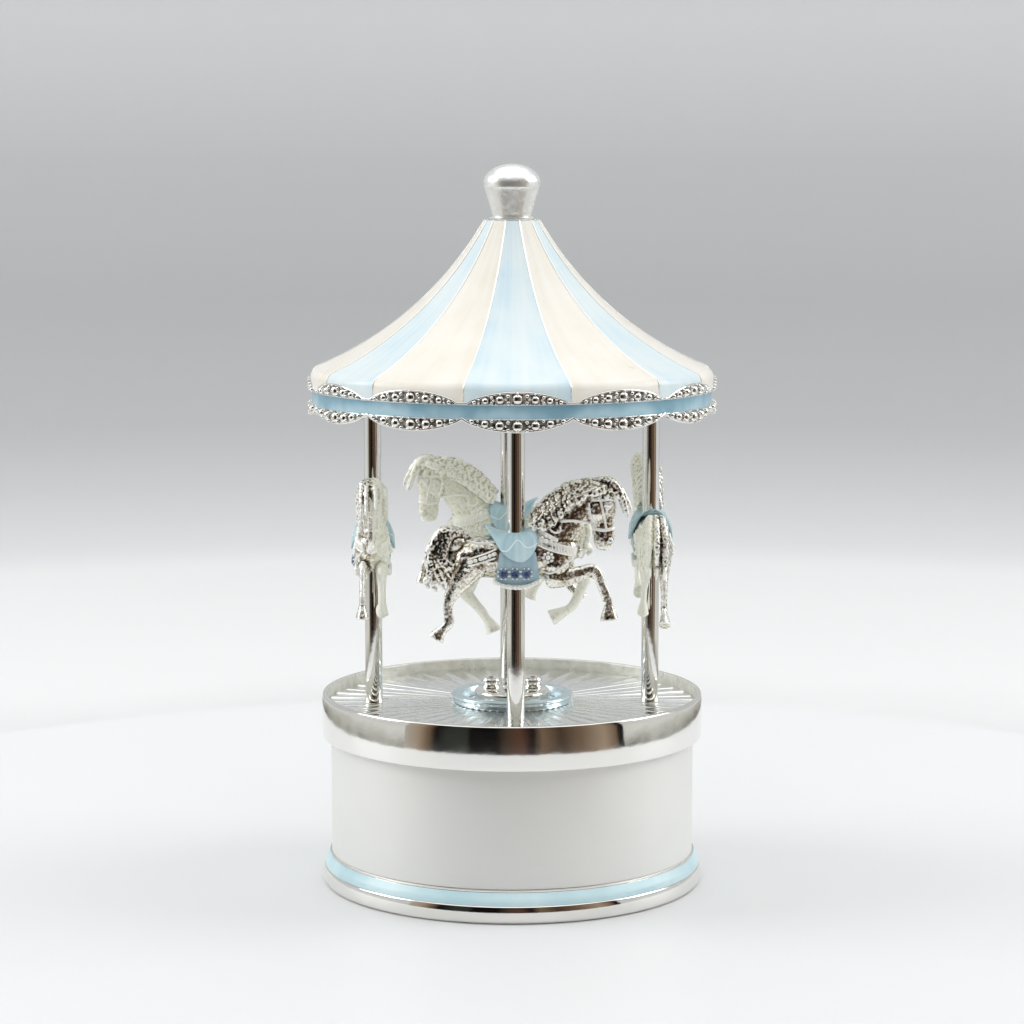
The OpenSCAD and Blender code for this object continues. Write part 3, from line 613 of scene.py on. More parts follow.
FLANK_C, FLANK_R = (70.5, 181.1), 75.0          # the flank is an arc of this circle
UPRIGHT_R, ROLL_R = 43.2, 2.0                   # the short upright below the eave's roll
FLANK_A0 = 30.5                                 # the arc's angles at the top and where the roll begins
FLANK_A1 = math.degrees(math.acos((FLANK_C[0] + ROLL_R - UPRIGHT_R) / (FLANK_R + ROLL_R)))
ROLL_C = (UPRIGHT_R - ROLL_R, FLANK_C[1] - (FLANK_R + ROLL_R) * math.sin(math.radians(FLANK_A1)))
UPPER_HALF, UPPER_MID, UPPER_CUSP = 10.2, 109.65, 107.45
LOWER_HALF, LOWER_CUSP = 11.3, 104.4
LENS_R = 42.75
# beads on one half of each lens: distance from its middle, height, radius
UPPER_BEADS = [(0, 108.35, 1.15), (3.55, 108.2, 0.95), (6.5, 107.95, 0.75), (8.7, 107.65, 0.45),
               (1.85, 107.62, 0.42), (1.9, 108.95, 0.42), (5.15, 107.6, 0.36), (5.2, 108.65, 0.38),
               (7.7, 108.2, 0.26), (2.35, 108.3, 0.28), (4.85, 108.1, 0.26), (3.5, 109.3, 0.22),
               (7.75, 107.5, 0.26), (0.0, 109.5, 0.24)]
LOWER_BEADS = [(0, 102.85, 1.2), (3.6, 103.0, 1.05), (6.6, 103.35, 0.88), (9.2, 103.85, 0.55),
               (1.9, 102.15, 0.42), (1.9, 103.65, 0.42), (5.15, 102.6, 0.36), (5.15, 103.9, 0.36),
               (7.95, 103.95, 0.28), (7.9, 103.1, 0.28), (2.35, 102.9, 0.26), (3.6, 104.2, 0.22),
               (0.0, 101.85, 0.22), (0.0, 104.2, 0.22)]


def flank(t, sink=0.0):
    """A point of the canopy's outline at t = 0 (top) to 1 (eave), sunk below the enamel."""
    a = math.radians(FLANK_A0 + (FLANK_A1 - FLANK_A0) * t)
    r = FLANK_R + sink
    return (FLANK_C[0] - r * math.cos(a), FLANK_C[1] - r * math.sin(a))


def roll(t, sink=0.0):
    a = math.radians(FLANK_A1 * (1 - t))
    r = ROLL_R - sink
    return (ROLL_C[0] + r * math.cos(a), ROLL_C[1] + r * math.sin(a))


ARCH_POWER = 1.25                               # 2 would make the lens edges elliptical


def arch(s, half, mid, cusp):
    """Height of a lens edge at the arc length s from the lens's middle."""
    share = min(1.0, abs(s) / half)
    return cusp + (mid - cusp) * (1 - share ** 2) ** (1 / ARCH_POWER)


def lobe_offset(degrees):
    """Arc length at the eave from the middle of the nearest lens."""
    return math.radians((degrees - FRONT + LOBE_DEG / 2) % LOBE_DEG - LOBE_DEG / 2) * UPRIGHT_R


def panel_shape(first):
    """The panels of one colour, from the flange down to the beaded arches."""
    shape = Shape()
    across, dish = 22, 0.28
    for i in range(first, len(SEAMS), 2):
        start, end = FRONT + (SEAMS[i - 1] if i else -SEAMS[0]), FRONT + SEAMS[i]
        columns = []
        for j in range(across + 1):
            u = j / across * 2 - 1
            angle = (start + end) / 2 + u * (end - start) / 2
            low = arch(lobe_offset(angle), UPPER_HALF, UPPER_MID, UPPER_CUSP)
            sunk = dish * (1 - u * u)
            outline = [flank(k / 26, sunk * min(1, k / 9)) for k in range(27)]
            outline += [roll(k / 8, sunk * (1 - k / 8)) for k in range(1, 9)]
            outline += [(UPRIGHT_R, ROLL_C[1] + (low - ROLL_C[1]) * k / 3) for k in range(1, 4)]
            columns.append([polar(r, angle, z) for r, z in outline])
        shape.grid(columns)
    return shape


def sheet(name, shape, material, thickness):
    """An object made of an open sheet, given its thickness inward."""
    obj = linked(name, mesh_of(shape, name, [material]))
    bpy.context.view_layer.update()
    thick = obj.modifiers.new("thickness", "SOLIDIFY")
    thick.thickness = thickness * MM
    thick.offset = -1
    return applied(obj)


def applied(obj):
    """Replaces an object's mesh with its modifiers' result."""
    depsgraph = bpy.context.evaluated_depsgraph_get()
    mesh = bpy.data.meshes.new_from_object(obj.evaluated_get(depsgraph))
    obj.modifiers.clear()
    old = obj.data
    obj.data = mesh
    bpy.data.meshes.remove(old)
    return obj


def wrapped(r, middle, s, z):
    """A point s millimetres round the canopy from a lens's middle."""
    return Vector(polar(r, middle + math.degrees(s / UPRIGHT_R), z))


def bead(shape, middle, s, z, radius, slot):
    """A half-round bead that stands out from the valance."""
    depth = min(radius, 0.95)
    centre = wrapped(CANOPY_R - 0.05 - depth, middle, s, z)
    out = Vector((centre.x, centre.y, 0)).normalized()
    along, up = Vector((-out.y, out.x, 0)), Vector((0, 0, 1))
    rows = []
    sides = 14
    for i in range(7):
        t = math.pi / 2 * i / 6.5
        mid, wide = centre + out * (depth * math.sin(t)), radius * math.cos(t)
        rows.append([mid + (along * math.cos(p) + up * math.sin(p)) * wide
                     for p in (2 * math.pi * j / sides for j in range(sides))])
    back = [p - out * 0.4 for p in rows[0]]
    shape.grid([back] + rows, slot, ring=True)
    shape.faces += [list(range(len(shape.verts) - sides, len(shape.verts)))]
    shape.slots += [slot]


def wire(shape, points, radius, slot):
    keys = [(*p, radius, radius) for p in points]
    shape.tube(keys, 8, slot, steps=1, across=(0, 0, 1))


def build_canopy():
    lining = 1.3
    skirt_in = UPRIGHT_R - lining

    def section(degrees):
        low = arch(lobe_offset(degrees), LOWER_HALF, SKIRT_Z0 + 0.15, LOWER_CUSP)
        outer = [flank(i / 20, 0.45) for i in range(21)] + [roll(i / 4, 0.45) for i in range(1, 5)]
        outer += [(UPRIGHT_R - 0.45, BAND_Z1 + 0.9), (LENS_R, BAND_Z1 + 0.5), (LENS_R, BAND_Z1),
                  (LENS_R - 0.35, BAND_Z1 - 0.1), (LENS_R - 0.35, BAND_Z0 + 0.1), (LENS_R, BAND_Z0),
                  (LENS_R, (BAND_Z0 + low) / 2), (LENS_R, low)]
        inner = [(skirt_in, low + 0.05), (skirt_in, BAND_Z0), (skirt_in, PLATE_TOP + 0.1),
                 (skirt_in - 0.4, PLATE_TOP + 3.0)]
        inner += [flank(i / 12, lining + 0.4) for i in range(12, -1, -1)]
        return outer + inner
    shell = Shape().revolve(section, LOBES * 24)
    shell.paint(1, lambda r, z: abs(r - LENS_R) < 0.25 and z < BAND_Z0)

    for seam in SEAMS:
        low = arch(lobe_offset(FRONT + seam), UPPER_HALF, UPPER_MID, UPPER_CUSP)
        line = [flank(i / 26, -0.02) for i in range(27)] + [roll(i / 8, -0.02) for i in range(1, 9)]
        line = [p for p in line if p[1] > low] + [(UPRIGHT_R + 0.02, low)]
        wire(shell, [Vector(polar(r, FRONT + seam, z)) for r, z in line], 0.16, 2)
    for k in range(LOBES):
        middle = FRONT + LOBE_DEG * k
        upper = [(s, arch(s, UPPER_HALF, UPPER_MID, UPPER_CUSP))
                 for s in (UPPER_HALF * (i / 14 - 1) for i in range(29))]
        half_lobe = math.radians(LOBE_DEG / 2) * UPRIGHT_R
        upper = [(-half_lobe, UPPER_CUSP)] + upper + [(half_lobe, UPPER_CUSP)]
        wire(shell, [wrapped(UPRIGHT_R, middle, s, z) for s, z in upper], 0.24, 0)
        lens = [[wrapped(LENS_R, middle, s, BAND_Z1 + (z - BAND_Z1) * v / 3) for v in range(4)]
                for s, z in upper]
        shell.grid(lens, 3)
        lower = [(s, arch(s, LOWER_HALF, SKIRT_Z0 + 0.3, LOWER_CUSP))
                 for s in (LOWER_HALF * (i / 14 - 1) for i in range(29))]
        wire(shell, [wrapped(UPRIGHT_R - 0.1, middle, s, z) for s, z in lower], 0.3, 0)
        for z in (BAND_Z0, BAND_Z1):
            edge = [wrapped(UPRIGHT_R - 0.25, middle, half_lobe * (i / 8 - 1), z) for i in range(17)]
            wire(shell, edge, 0.16, 0)
        for s, z, radius in UPPER_BEADS + LOWER_BEADS:
            for sign in ((1, -1) if s else (1,)):
                bead(shell, middle, sign * s, z, radius, 0)
    piece("canopy_body", shell, [SILVER, DARK, SEAM, GRAINED], "carousel", ["canopy_shell"],
          sharp=50)

    for name, node, first, material, slot in (
            ("panels_blue", "canopy_enamel_blue", 0, PALE_BLUE, "pale_blue_enamel"),
            ("panels_cream", "canopy_enamel_cream", 1, CREAM, "cream_enamel")):
        panels = sheet(name, panel_shape(first), material, 0.35)
        smoothed(panels.data, 50)
        settle(panels, "carousel", [node])

    band = Shape().revolve([(BAND_R - 0.12, BAND_Z0), (BAND_R - 0.2, (BAND_Z0 + BAND_Z1) / 2),
                            (BAND_R - 0.12, BAND_Z1), (BAND_R - 0.45, BAND_Z1), (BAND_R - 0.45, BAND_Z0)],
                           240)
    piece("valance_band", band, [MID_BLUE], "carousel", ["valance_enamel_band"])


def build_finial():
    wide_z = TOTAL_H - 4.2
    knob = [(r, CANOPY_TOP + rise) for r, rise in (
        (0.01, 0.02), (4.7, 0.02), (4.85, 0.2), (4.85, 0.5), (4.6, 0.65), (4.05, 0.72), (4.08, 0.9))]
    knob += spline([(4.15, CANOPY_TOP + 1.0), (4.95, CANOPY_TOP + 3.75), (5.72, CANOPY_TOP + 6.4),
                    (6.0, wide_z - 0.6), (FINIAL_R, wide_z + 0.2)], 6)[1:]
    knob += [(FINIAL_R * math.cos(math.radians(a)), wide_z + 0.1 + 4.1 * math.sin(math.radians(a)))
             for a in range(7, 90, 7)]
    knob += [(0.01, TOTAL_H)]
    piece("finial_knob", Shape().revolve(knob, 128, closed=False), [HAMMERED], "carousel", ["finial"])


# ---- carousel: horses ----

TRUNK = [  # x, middle z, half height, half width
    (-13.9, 0.8, 0.8, 0.8), (-13.1, 0.7, 2.3, 1.9), (-11.5, 0.6, 3.3, 2.7), (-9.5, 0.6, 3.9, 3.1),
    (-7.5, 0.6, 4.4, 3.5), (-3.0, 0.6, 4.5, 3.6), (2.0, 0.8, 4.5, 3.6), (6.5, 1.1, 4.8, 3.6),
    (9.5, 1.5, 4.3, 3.3), (11.6, 1.5, 3.0, 2.5), (12.7, 1.3, 1.3, 1.2)]


def bar_keys(points, y):
    """(x, z, half_width, half_height) points in the plane y, as tube keys."""
    return [(x, y, z, w, h) for x, z, w, h in points]


def horse_body():
    """Trunk, neck, head and legs of a leaping horse that faces +X, outward side at -Y."""
    s = Shape()
    s.tube([(x, 0, z, w, h) for x, z, h, w in TRUNK], 28)
    s.tube(bar_keys([(5.6, 1.2, 3.2, 4.6), (7.8, 3.8, 2.9, 4.5), (10.6, 7.2, 2.4, 3.7),
                     (13.3, 10.2, 2.0, 3.0), (16.2, 12.5, 1.8, 2.5), (18.0, 13.2, 1.6, 2.1)], 0), 22)
    s.tube(bar_keys([(16.9, 14.2, 1.5, 1.9), (17.5, 12.4, 1.8, 2.8), (17.6, 10.2, 1.8, 3.1),
                     (17.8, 8.2, 1.4, 2.6), (18.0, 6.2, 1.25, 2.3), (18.1, 4.2, 1.3, 2.3),
                     (18.0, 2.7, 1.1, 1.9)], 0), 20)
    for y in (-1, 1):
        s.ball((16.4, y * 1.0, 9.9), 2.1, squash=(1, 0.6, 1.1))              # cheek
        s.ball((18.9, y * 1.5, 11.4), 1.0, squash=(1.2, 0.7, 0.8))           # brow
        s.ball((19.4, y * 1.15, 3.8), 0.7, squash=(1, 0.6, 0.9))             # nostril
        s.tube([(17.0, y * 1.0, 14.6, 0.5, 0.7), (17.3, y * 1.5, 16.0, 0.4, 0.6),
                (17.6, y * 1.6, 17.0, 0.15, 0.2)], 10)                       # ear
        s.ball((8.2, y * 2.0, -0.6), 2.9, squash=(1, 0.62, 1.15))            # shoulder
        s.ball((-9.6, y * 1.7, -0.8), 3.5, squash=(0.95, 0.6, 1.15))         # thigh
    s.ball((-12.1, 0, 3.2), 2.35, squash=(1, 1.1, 1), rings=12, sides=20)     # rump
    near, far = -1.9, 1.9
    for y, leg in ((near, [(-9.2, -0.8, 3.5), (-10.9, -3.4, 2.8), (-12.6, -6.2, 1.75), (-13.8, -8.3, 1.3),
                           (-14.05, -10.8, 1.0), (-13.8, -12.9, 1.1), (-14.7, -14.1, 0.95)]),
                   (far, [(-8.4, -1.0, 3.1), (-9.9, -4.4, 2.3), (-10.3, -7.2, 1.55), (-8.5, -9.5, 1.1),
                          (-6.9, -11.4, 1.0), (-6.2, -12.7, 0.9)]),
                   (near, [(7.4, -3.4, 2.6), (10.6, -3.5, 2.0), (13.6, -2.7, 1.5), (15.9, -2.3, 1.4),
                           (17.5, -5.2, 1.05), (18.7, -8.2, 1.05), (19.1, -9.6, 0.95)]),
                   (far, [(8.2, -2.9, 2.3), (11.6, -3.7, 1.7), (14.3, -4.2, 1.4), (13.4, -7.0, 1.05),
                          (12.2, -9.6, 1.05), (10.9, -11.0, 0.9)])):
        s.tube([(x, y, z, max(0.62 * h, 0.66), h) for x, z, h in leg], 20)
    for y, hoof in ((near, [(-14.9, -14.2, 0.95), (-15.9, -15.3, 1.4), (-16.6, -16.4, 1.85)]),
                    (far, [(-5.9, -12.9, 0.95), (-5.1, -14.2, 1.35), (-4.5, -15.5, 1.75)]),
                    (near, [(19.05, -9.9, 1.05), (19.1, -11.2, 1.55), (19.2, -12.6, 2.0)]),
                    (far, [(10.6, -11.1, 0.95), (9.0, -11.9, 1.35), (7.3, -12.7, 1.75)])):
        s.tube([(x, y, z, 0.75 * h, h) for x, z, h in hoof], 18, flat_end=True)
    return s


CREST = [(3.9, 9.0), (6.5, 12.0), (10.3, 14.7), (14.2, 15.6), (17.8, 15.8)]
HANG = [(4.6, 6.4), (7.4, 8.3), (10.4, 10.5), (13.2, 12.7), (16.4, 13.6)]


def lock(s, points, thick, rng, curl=0.0):
    """One lock of hair: a tapering tube whose end may curl back on itself."""
    points = list(points)
    (x0, _, z0), (x, y, z) = points[-2], points[-1]
    if curl:
        away = Vector((x - x0, 0, z - z0)).normalized()
        turn = Vector((away.z, 0, -away.x)) * curl
        for step in (0.7, 1.5, 2.2):
            at = Vector((x, y, z)) + away * (math.sin(step) * abs(curl)) + turn * (1 - math.cos(step))
            points.append((at.x, y, at.z))
    keys = []
    for k, (px, py, pz) in enumerate(points):
        share = k / (len(points) - 1)
        w = thick * (0.75 + 0.45 * math.sin(math.pi * min(1.0, share * 1.1 + 0.15))) * (1 - 0.55 * share)
        keys.append((px, py, pz, w * (0.85 + 0.15 * rng.random()), w * 1.1))
    s.tube(keys, 10)


def horse_hair():
    """Mane, forelock and tail as chunky curling locks of cast metal."""
    s = Shape()
    rng = random.Random(7)
    crest, hang = spline(CREST, 8), spline(HANG, 8)
    locks = 11
    for side in (-1, 1):
        for k in range(locks):
            at = k / (locks - 1) * (len(crest) - 1)
            top, end = crest[int(at)], hang[max(0, int(at) - 1)]
            swing = rng.uniform(-0.35, 0.35)
            mid = ((top[0] + end[0]) / 2 + 0.8 + swing, (top[1] + end[1]) / 2 + 0.35)
            bend = rng.uniform(-0.7, 0.7)
            lock(s, [(top[0], side * 0.5, top[1] + 0.2), (mid[0] + bend, side * 1.9, mid[1] + swing),
                     (end[0] + 0.3 - bend, side * 2.75, end[1] + 0.5 + swing)], 0.85, rng,
                 rng.choice((0.55, 0.7, -0.6)))
            lock(s, [(top[0] - 1.1, side * 0.4, top[1] - 0.2),
                     (mid[0] - 1.2 - bend, side * 1.6, mid[1] + 0.1),
                     (end[0] - 1.2, side * 2.4, end[1] + 1.1 + swing)], 0.6, rng, rng.choice((0.4, -0.4)))
    for k in range(13):
        top = crest[int(k / 12 * (len(crest) - 1))]
        s.ball((top[0] - 0.1, rng.uniform(-0.6, 0.6), top[1] + 0.3), 0.95 + 0.2 * rng.random(),
               squash=(1.0, 0.9, 0.75))
    for y, reach, drop in ((-1.9, 5.0, 7.6), (-0.9, 5.6, 6.3), (0.2, 4.3, 7.0), (1.1, 5.4, 5.2),
                           (1.9, 4.6, 7.2)):
        lock(s, [(17.2, y * 0.5, 15.8), (19.6, y * 0.8, 15.7), (18.0 + reach * 0.7, y, 14.2 - 0.1 * drop),
                 (18.0 + reach, y, 16.4 - drop)], 1.05, rng)
    for side in (-1, 1):
        for x, z in ((18.9, 14.9), (20.3, 13.6), (18.2, 13.3), (16.4, 15.0)):
            lock(s, [(x - 0.9, side * 1.2, z + 0.7), (x + 0.1, side * 1.9, z + 0.4),
                     (x + 0.5, side * 2.1, z - 0.4)], 0.62, rng, -0.45)
    ends = [(-18.3, -5.7), (-16.7, -6.4), (-15.2, -5.9), (-13.7, -5.9), (-12.3, -5.2), (-11.0, -4.6)]
    for side in (-1, 0, 1):
        for k, (x, z) in enumerate(ends):
            lean = k / (len(ends) - 1)
            y = side * (1.6 + 0.6 * lean)
            wave = rng.uniform(-0.45, 0.45)
            lock(s, [(-10.4 - 0.3 * lean, y * 0.4, 5.0),
                     (-13.4 - 1.2 * (1 - lean), y * 0.8, 5.9 - 0.9 * lean),
                     (-16.7 + 2.0 * lean, y, 3.4 - 1.4 * lean), (-17.9 + 3.8 * lean + wave, y * 1.1, -0.2),
                     (x + 0.7 - wave, y * 1.1, (z - 1.6) / 2), (x - 0.5, y, z + 1.2),
                     (x + 0.3, y * 0.9, z)], 0.98 - 0.12 * (k % 2), rng)
    return s


def remeshed(shape, voxel, smooth):
    """Fuses overlapping forms into one closed cast skin."""
    obj = linked("fusing", mesh_of(shape, "fusing", []))
    fuse = obj.modifiers.new("fuse", "REMESH")
    fuse.mode = "VOXEL"
    fuse.voxel_size = voxel * MM
    soften = obj.modifiers.new("soften", "SMOOTH")
    soften.factor = 0.5
    soften.iterations = smooth
    bpy.context.view_layer.update()
    mesh = applied(obj).data
    bpy.data.objects.remove(obj)
    return mesh


def roughened(mesh, skin):
    """Gives the casting its lively surface: faint on the body, strong in the hair."""
    moved = []
    for vertex in mesh.vertices:
        at = vertex.co / MM
        away = skin.tree.find_nearest(at)[3]
        depth = 0.03 + 0.11 * min(1.0, away / 0.6)
        wave = noise.noise(at * 0.95) * 0.55 + noise.noise(at * 2.1 + Vector((7, 3, 1))) * 0.75
        moved.extend((at + vertex.normal * (depth * wave)) * MM)
    mesh.vertices.foreach_set("co", moved)
    mesh.update()


MISSED_Y = 2.6                               # where tack lies if the ray passes the horse


def struck(tree, x, z, side):
    """Where a ray from one side towards the horse's middle meets a surface, or None."""
    return tree.ray_cast(Vector((x, side * 12, z)), Vector((0, -side, 0)))[0]


class Skin:
    """Finds the horse's outer surface, for tack that lies on it."""

    def __init__(self, mesh):
        self.tree = BVHTree.FromPolygons([v.co / MM for v in mesh.vertices],
                                         [list(p.vertices) for p in mesh.polygons])

    def at(self, x, z, side, lift=0.0):
        hit = struck(self.tree, x, z, side)
        y = hit.y * side if hit is not None else MISSED_Y
        return Vector((x, side * (y + lift), z))


def strap(s, skin, line, side, width, thick):
    path = spline(line, 5)
    keys = []
    for x, z in path:
        p = skin.at(x, z, side, 0.05)
        keys.append((p.x, p.y, p.z, thick, width / 2))
    s.tube(keys, 10, steps=1)


def studs(s, skin, line, side, count, radius):
    path = spline(line, 10)
    for k in range(count):
        x, z = path[round(k / (count - 1) * (len(path) - 1))]
        s.ball(skin.at(x, z, side, 0.15), radius, rings=6, sides=10)


def rosette(s, skin, x, z, side, radius):
    centre = skin.at(x, z, side, 0.2)
    s.ball(centre, radius * 0.55, squash=(1, 0.8, 1), rings=7, sides=12)
    for k in range(8):
        a = 2 * math.pi * k / 8
        s.ball(centre + Vector((radius * math.cos(a), 0, radius * math.sin(a))), radius * 0.34,
               squash=(1, 0.8, 1), rings=5, sides=8)


def tack(skin):
    """Straps, studs and rosettes on both sides of the horse."""
    s = Shape()
    for side in (-1, 1):
        strap(s, skin, [(4.6, 4.0), (7.0, 3.0), (9.8, 2.2), (12.3, 1.6)], side, 1.9, 0.18)
        for dz in (0.85, -0.85):
            edge = [(4.6, 4.0 + dz), (7.0, 3.0 + dz), (9.8, 2.2 + dz), (12.2, 1.6 + dz)]
            strap(s, skin, edge, side, 0.35, 0.32)
        for k in range(8):
            x = 7.3 + 0.62 * k
            z = 2.95 - 0.27 * (x - 7.0)
            strap(s, skin, [(x, z + 0.7), (x + 0.15, z - 0.7)], side, 0.26, 0.34)
        strap(s, skin, [(3.5, 6.6), (5.9, 5.4), (8.3, 4.1)], side, 0.9, 0.3)
        rosette(s, skin, 6.1, 4.0, side, 1.05)
        rosette(s, skin, 6.5, 0.7, side, 0.95)
        strap(s, skin, [(7.4, 7.6), (6.9, 6.5), (7.9, 5.7), (9.0, 6.0), (9.0, 6.8)], side, 0.45, 0.3)
        strap(s, skin, [(9.3, 8.0), (11.6, 8.1), (13.4, 7.8), (15.4, 7.5)], side, 0.6, 0.3)
        strap(s, skin, [(17.4, 14.8), (17.3, 12.4), (17.9, 9.6), (18.6, 6.0)], side, 0.5, 0.25)
        strap(s, skin, [(15.9, 6.3), (18.0, 6.0), (20.1, 6.3)], side, 0.7, 0.32)
        strap(s, skin, [(15.6, 12.3), (17.5, 12.3), (19.9, 12.3)], side, 0.6, 0.32)
        strap(s, skin, [(14.9, 11.6), (15.2, 9.2), (16.2, 7.2)], side, 0.5, 0.35)
        studs(s, skin, [(14.7, 10.6), (15.3, 8.2), (16.0, 6.6)], side, 6, 0.38)
        rosette(s, skin, 16.3, 13.4, side, 0.9)
        rosette(s, skin, 16.4, 7.6, side, 0.75)
        s.ball(skin.at(18.7, 10.6, side, 0.0), 0.5, rings=7, sides=12)
        strap(s, skin, [(-4.2, 2.4), (-6.4, 1.5), (-9.8, 0.4)], side, 0.4, 0.3)
        strap(s, skin, [(-4.4, 0.6), (-7.0, -0.3), (-9.6, -0.9)], side, 0.4, 0.3)
        studs(s, skin, [(-4.4, 1.5), (-6.8, 0.6), (-9.6, -0.2)], side, 9, 0.42)
        strap(s, skin, [(-4.1, 3.9), (-7.0, 3.5), (-10.0, 3.9)], side, 0.55, 0.3)
        studs(s, skin, [(-4.5, -1.2), (-7.6, -2.0), (-10.4, -1.7)], side, 7, 0.36)
        strap(s, skin, [(4.9, -2.0), (7.0, -2.6), (9.6, -1.2), (11.6, 0.3)], side, 0.4, 0.28)
        hem = spline([(-4.45, -4.3), (-2.4, -5.2), (0.3, -5.55), (2.9, -5.05), (5.0, -4.0)], 6)
        s.tube([(x, side * 3.3, z, 0.45, 0.42) for x, z in hem], 10, steps=1)
        for k in range(12):
            x, z = hem[round((k + 0.5) / 12 * (len(hem) - 1))]
            s.ball((x, side * 3.55, z), 0.48, rings=6, sides=10)
    return s


def saddle():
    """The enamelled saddle: a seat across the back, a pointed flap on each side, a cloth below."""
    s = Shape()
    tips = [(-6.5, 7.3, 7.2, 0.5), (-5.8, 7.0, 6.1, 2.1), (-4.8, 6.5, 4.7, 3.2), (-3.4, 6.0, 2.5, 4.2),
            (-1.8, 5.8, 0.9, 4.6), (0.1, 5.8, 0.0, 4.75), (1.5, 5.95, 0.0, 4.75),
            (2.8, 6.4, 0.9, 4.5), (3.7, 6.6, 2.1, 4.0), (4.4, 5.6, 3.6, 2.9), (4.8, 4.9, 4.4, 1.5)]
    rows = []
    for x, top, low, half in spline(tips, 4):
        row = []
        for k in range(33):
            t = math.radians(-90 + 180 * k / 32)
            lean = abs(math.sin(t)) ** 0.72 * (1 if t > 0 else -1)
            row.append((x, half * lean, low + (top - low) * max(0.0, math.cos(t)) ** 0.85))
        rows.append(row)
    s.grid(rows)
    piping = Shape()
    rim = spline([(-4.6, 2.0), (-3.0, 2.2), (-1.7, 2.3), (0.2, 4.3), (2.0, 2.9), (3.3, 3.1), (4.2, 3.6)], 5)
    flap = BVHTree.FromPolygons(s.verts, s.faces)
    for side in (-1, 1):
        keys = []
        for x, z in rim:
            hit = struck(flap, x, z, side)
            if hit is not None:
                keys.append((x, hit.y + side * 0.02, z, 0.10, 0.15))
        piping.tube(keys, 8, steps=1)
    cloth = Shape()
    steps = 12
    for side in (-1, 1):
        rows = []
        for i in range(steps + 1):
            u = i / steps
            row = []
            for j in range(steps + 1):
                v = j / steps
                x = (-3.4 + 7.4 * u) * (1 - v) + (-4.3 + 9.1 * u) * v
                z = 1.8 - (6.0 + 0.9 * (1 - (2 * u - 1) ** 2)) * v
                y = 3.85 * math.sqrt(max(0.02, 1 - ((z - 0.7) / 7.6) ** 2)) + 0.12
                row.append((x, side * y, z))
            rows.append(row)
        cloth.grid(rows)
    return s, cloth, piping


STONES_X = (-2.65, -0.3, 2.05)
STONES_Y, STONES_Z = -4.05, -2.6


def stones():
    """Three faceted stones on the outer side, each in a ring of silver grains."""
    glass, grains = Shape(), Shape()
    sides = 8

    def ring(x, r, out, turn):
        return [(x + r * math.cos(a), STONES_Y - out, STONES_Z + r * math.sin(a))
                for a in (2 * math.pi * (k + turn) / sides for k in range(sides))]
    for x in STONES_X:
        rows = [ring(x, 1.0, 0.0, 0), ring(x, 1.0, 0.18, 0), ring(x, 0.62, 0.55, 0.5)]
        glass.grid(rows, ring=True)
        last = len(glass.verts)
        base = last - len(rows) * sides
        glass.faces += [list(range(base, base + sides)), list(range(last - sides, last))]
        glass.slots += [0, 0]
        for at in ring(x, 1.12, 0.12, 0.5):
            grains.ball(at, 0.2, rings=5, sides=8)
    return glass, grains


SADDLE_BELOW = 4.6                           # the saddle's lowest point below the horse's origin


def seat_height(side):
    """Height of a horse's own origin, the saddle seam line, from its saddle in the frame."""
    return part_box(f"saddle_{side}")[0].z / MM + SADDLE_BELOW


def build_horses():
    trunk = remeshed(horse_body(), 0.24, 6)
    skin = Skin(trunk)
    whole = horse_body()
    whole.join(horse_hair())
    cast = remeshed(whole, 0.19, 2)
    roughened(cast, skin)
    glass, grains = stones()
    details = mesh_of(tack(skin).join(grains), "tack", [])
    horse = gathered("horse", [(cast, 0), (details, 0)])
    horse.materials.append(CAST)
    horse.shade_smooth()

    seat, cloth, piping = saddle()
    flap = sheet("flap", seat, SADDLE_BLUE, 0.45)
    blanket = sheet("blanket", cloth, CLOTH_BLUE, 0.5)
    cord = mesh_of(piping, "piping", [])
    saddle_mesh = gathered("saddle", [(flap.data, 0), (blanket.data, 1), (cord, 2)])
    for obj in (flap, blanket):
        bpy.data.objects.remove(obj)
    for material in (SADDLE_BLUE, CLOTH_BLUE, PIPING):
        saddle_mesh.materials.append(material)
    smoothed(saddle_mesh, 50)

    stone_set = Shape()
    for side, turn in SIDES.items():
        z = seat_height(side)
        place = on_pole(turn, z)
        for name, mesh, node, slot in (
                (f"cast_horse_{side}", horse, f"horse_{side}", "cast_silver"),
                (f"saddle_seat_{side}", saddle_mesh, f"saddle_{side}", "saddle_enamel")):
            obj = linked(name, mesh)
            obj.matrix_world = place
            settle(obj, "carousel", [node])
        in_mm = place.copy()
        in_mm.translation = place.translation / MM
        stone_set.join(glass.moved(in_mm))
    piece("stones", stone_set, [CRYSTAL], "carousel", ["saddle_crystals"], sharp=12)


# ---- finishes of the CAD pieces that stay as they are ----

def finish_cad():
    kept = {
        SATIN: ["bottom_plate", "canopy_plate", "drum_top_plate", "winding_key"],
        STEEL: ["bottom_screws", "movement_screws", "comb", "comb_screws", "winding_arbor", "output_shaft",
                "mainspring", "cylinder_pins", "cylinder_arbor", "governor_arbor", "governor_pinion",
                "governor_worm", "pole_foot_nuts", "pole_top_nuts", "finial_stud", "finial_nut"],
        BRASS: ["bearing_bush", "cylinder_bracket_inner", "cylinder_bracket_outer", "governor_frame",
                "spring_barrel", "crown_wheel", "pinned_cylinder", "cylinder_pinion", "cylinder_gear",
                "worm_wheel", "governor_fly"],
        ZINC: ["movement_bedplate"],
        NYLON: ["thrust_washer"],
    }
    for material, nodes in kept.items():
        for name in nodes:
            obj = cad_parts[name]
            if obj.material_slots:
                for slot in obj.material_slots:
                    slot.material = material
            else:
                obj.data.materials.append(material)


# ---- studio ----

def studio_object(name, shape, material):
    obj = linked(name, mesh_of(shape, name, [material], sharp=80))
    return obj


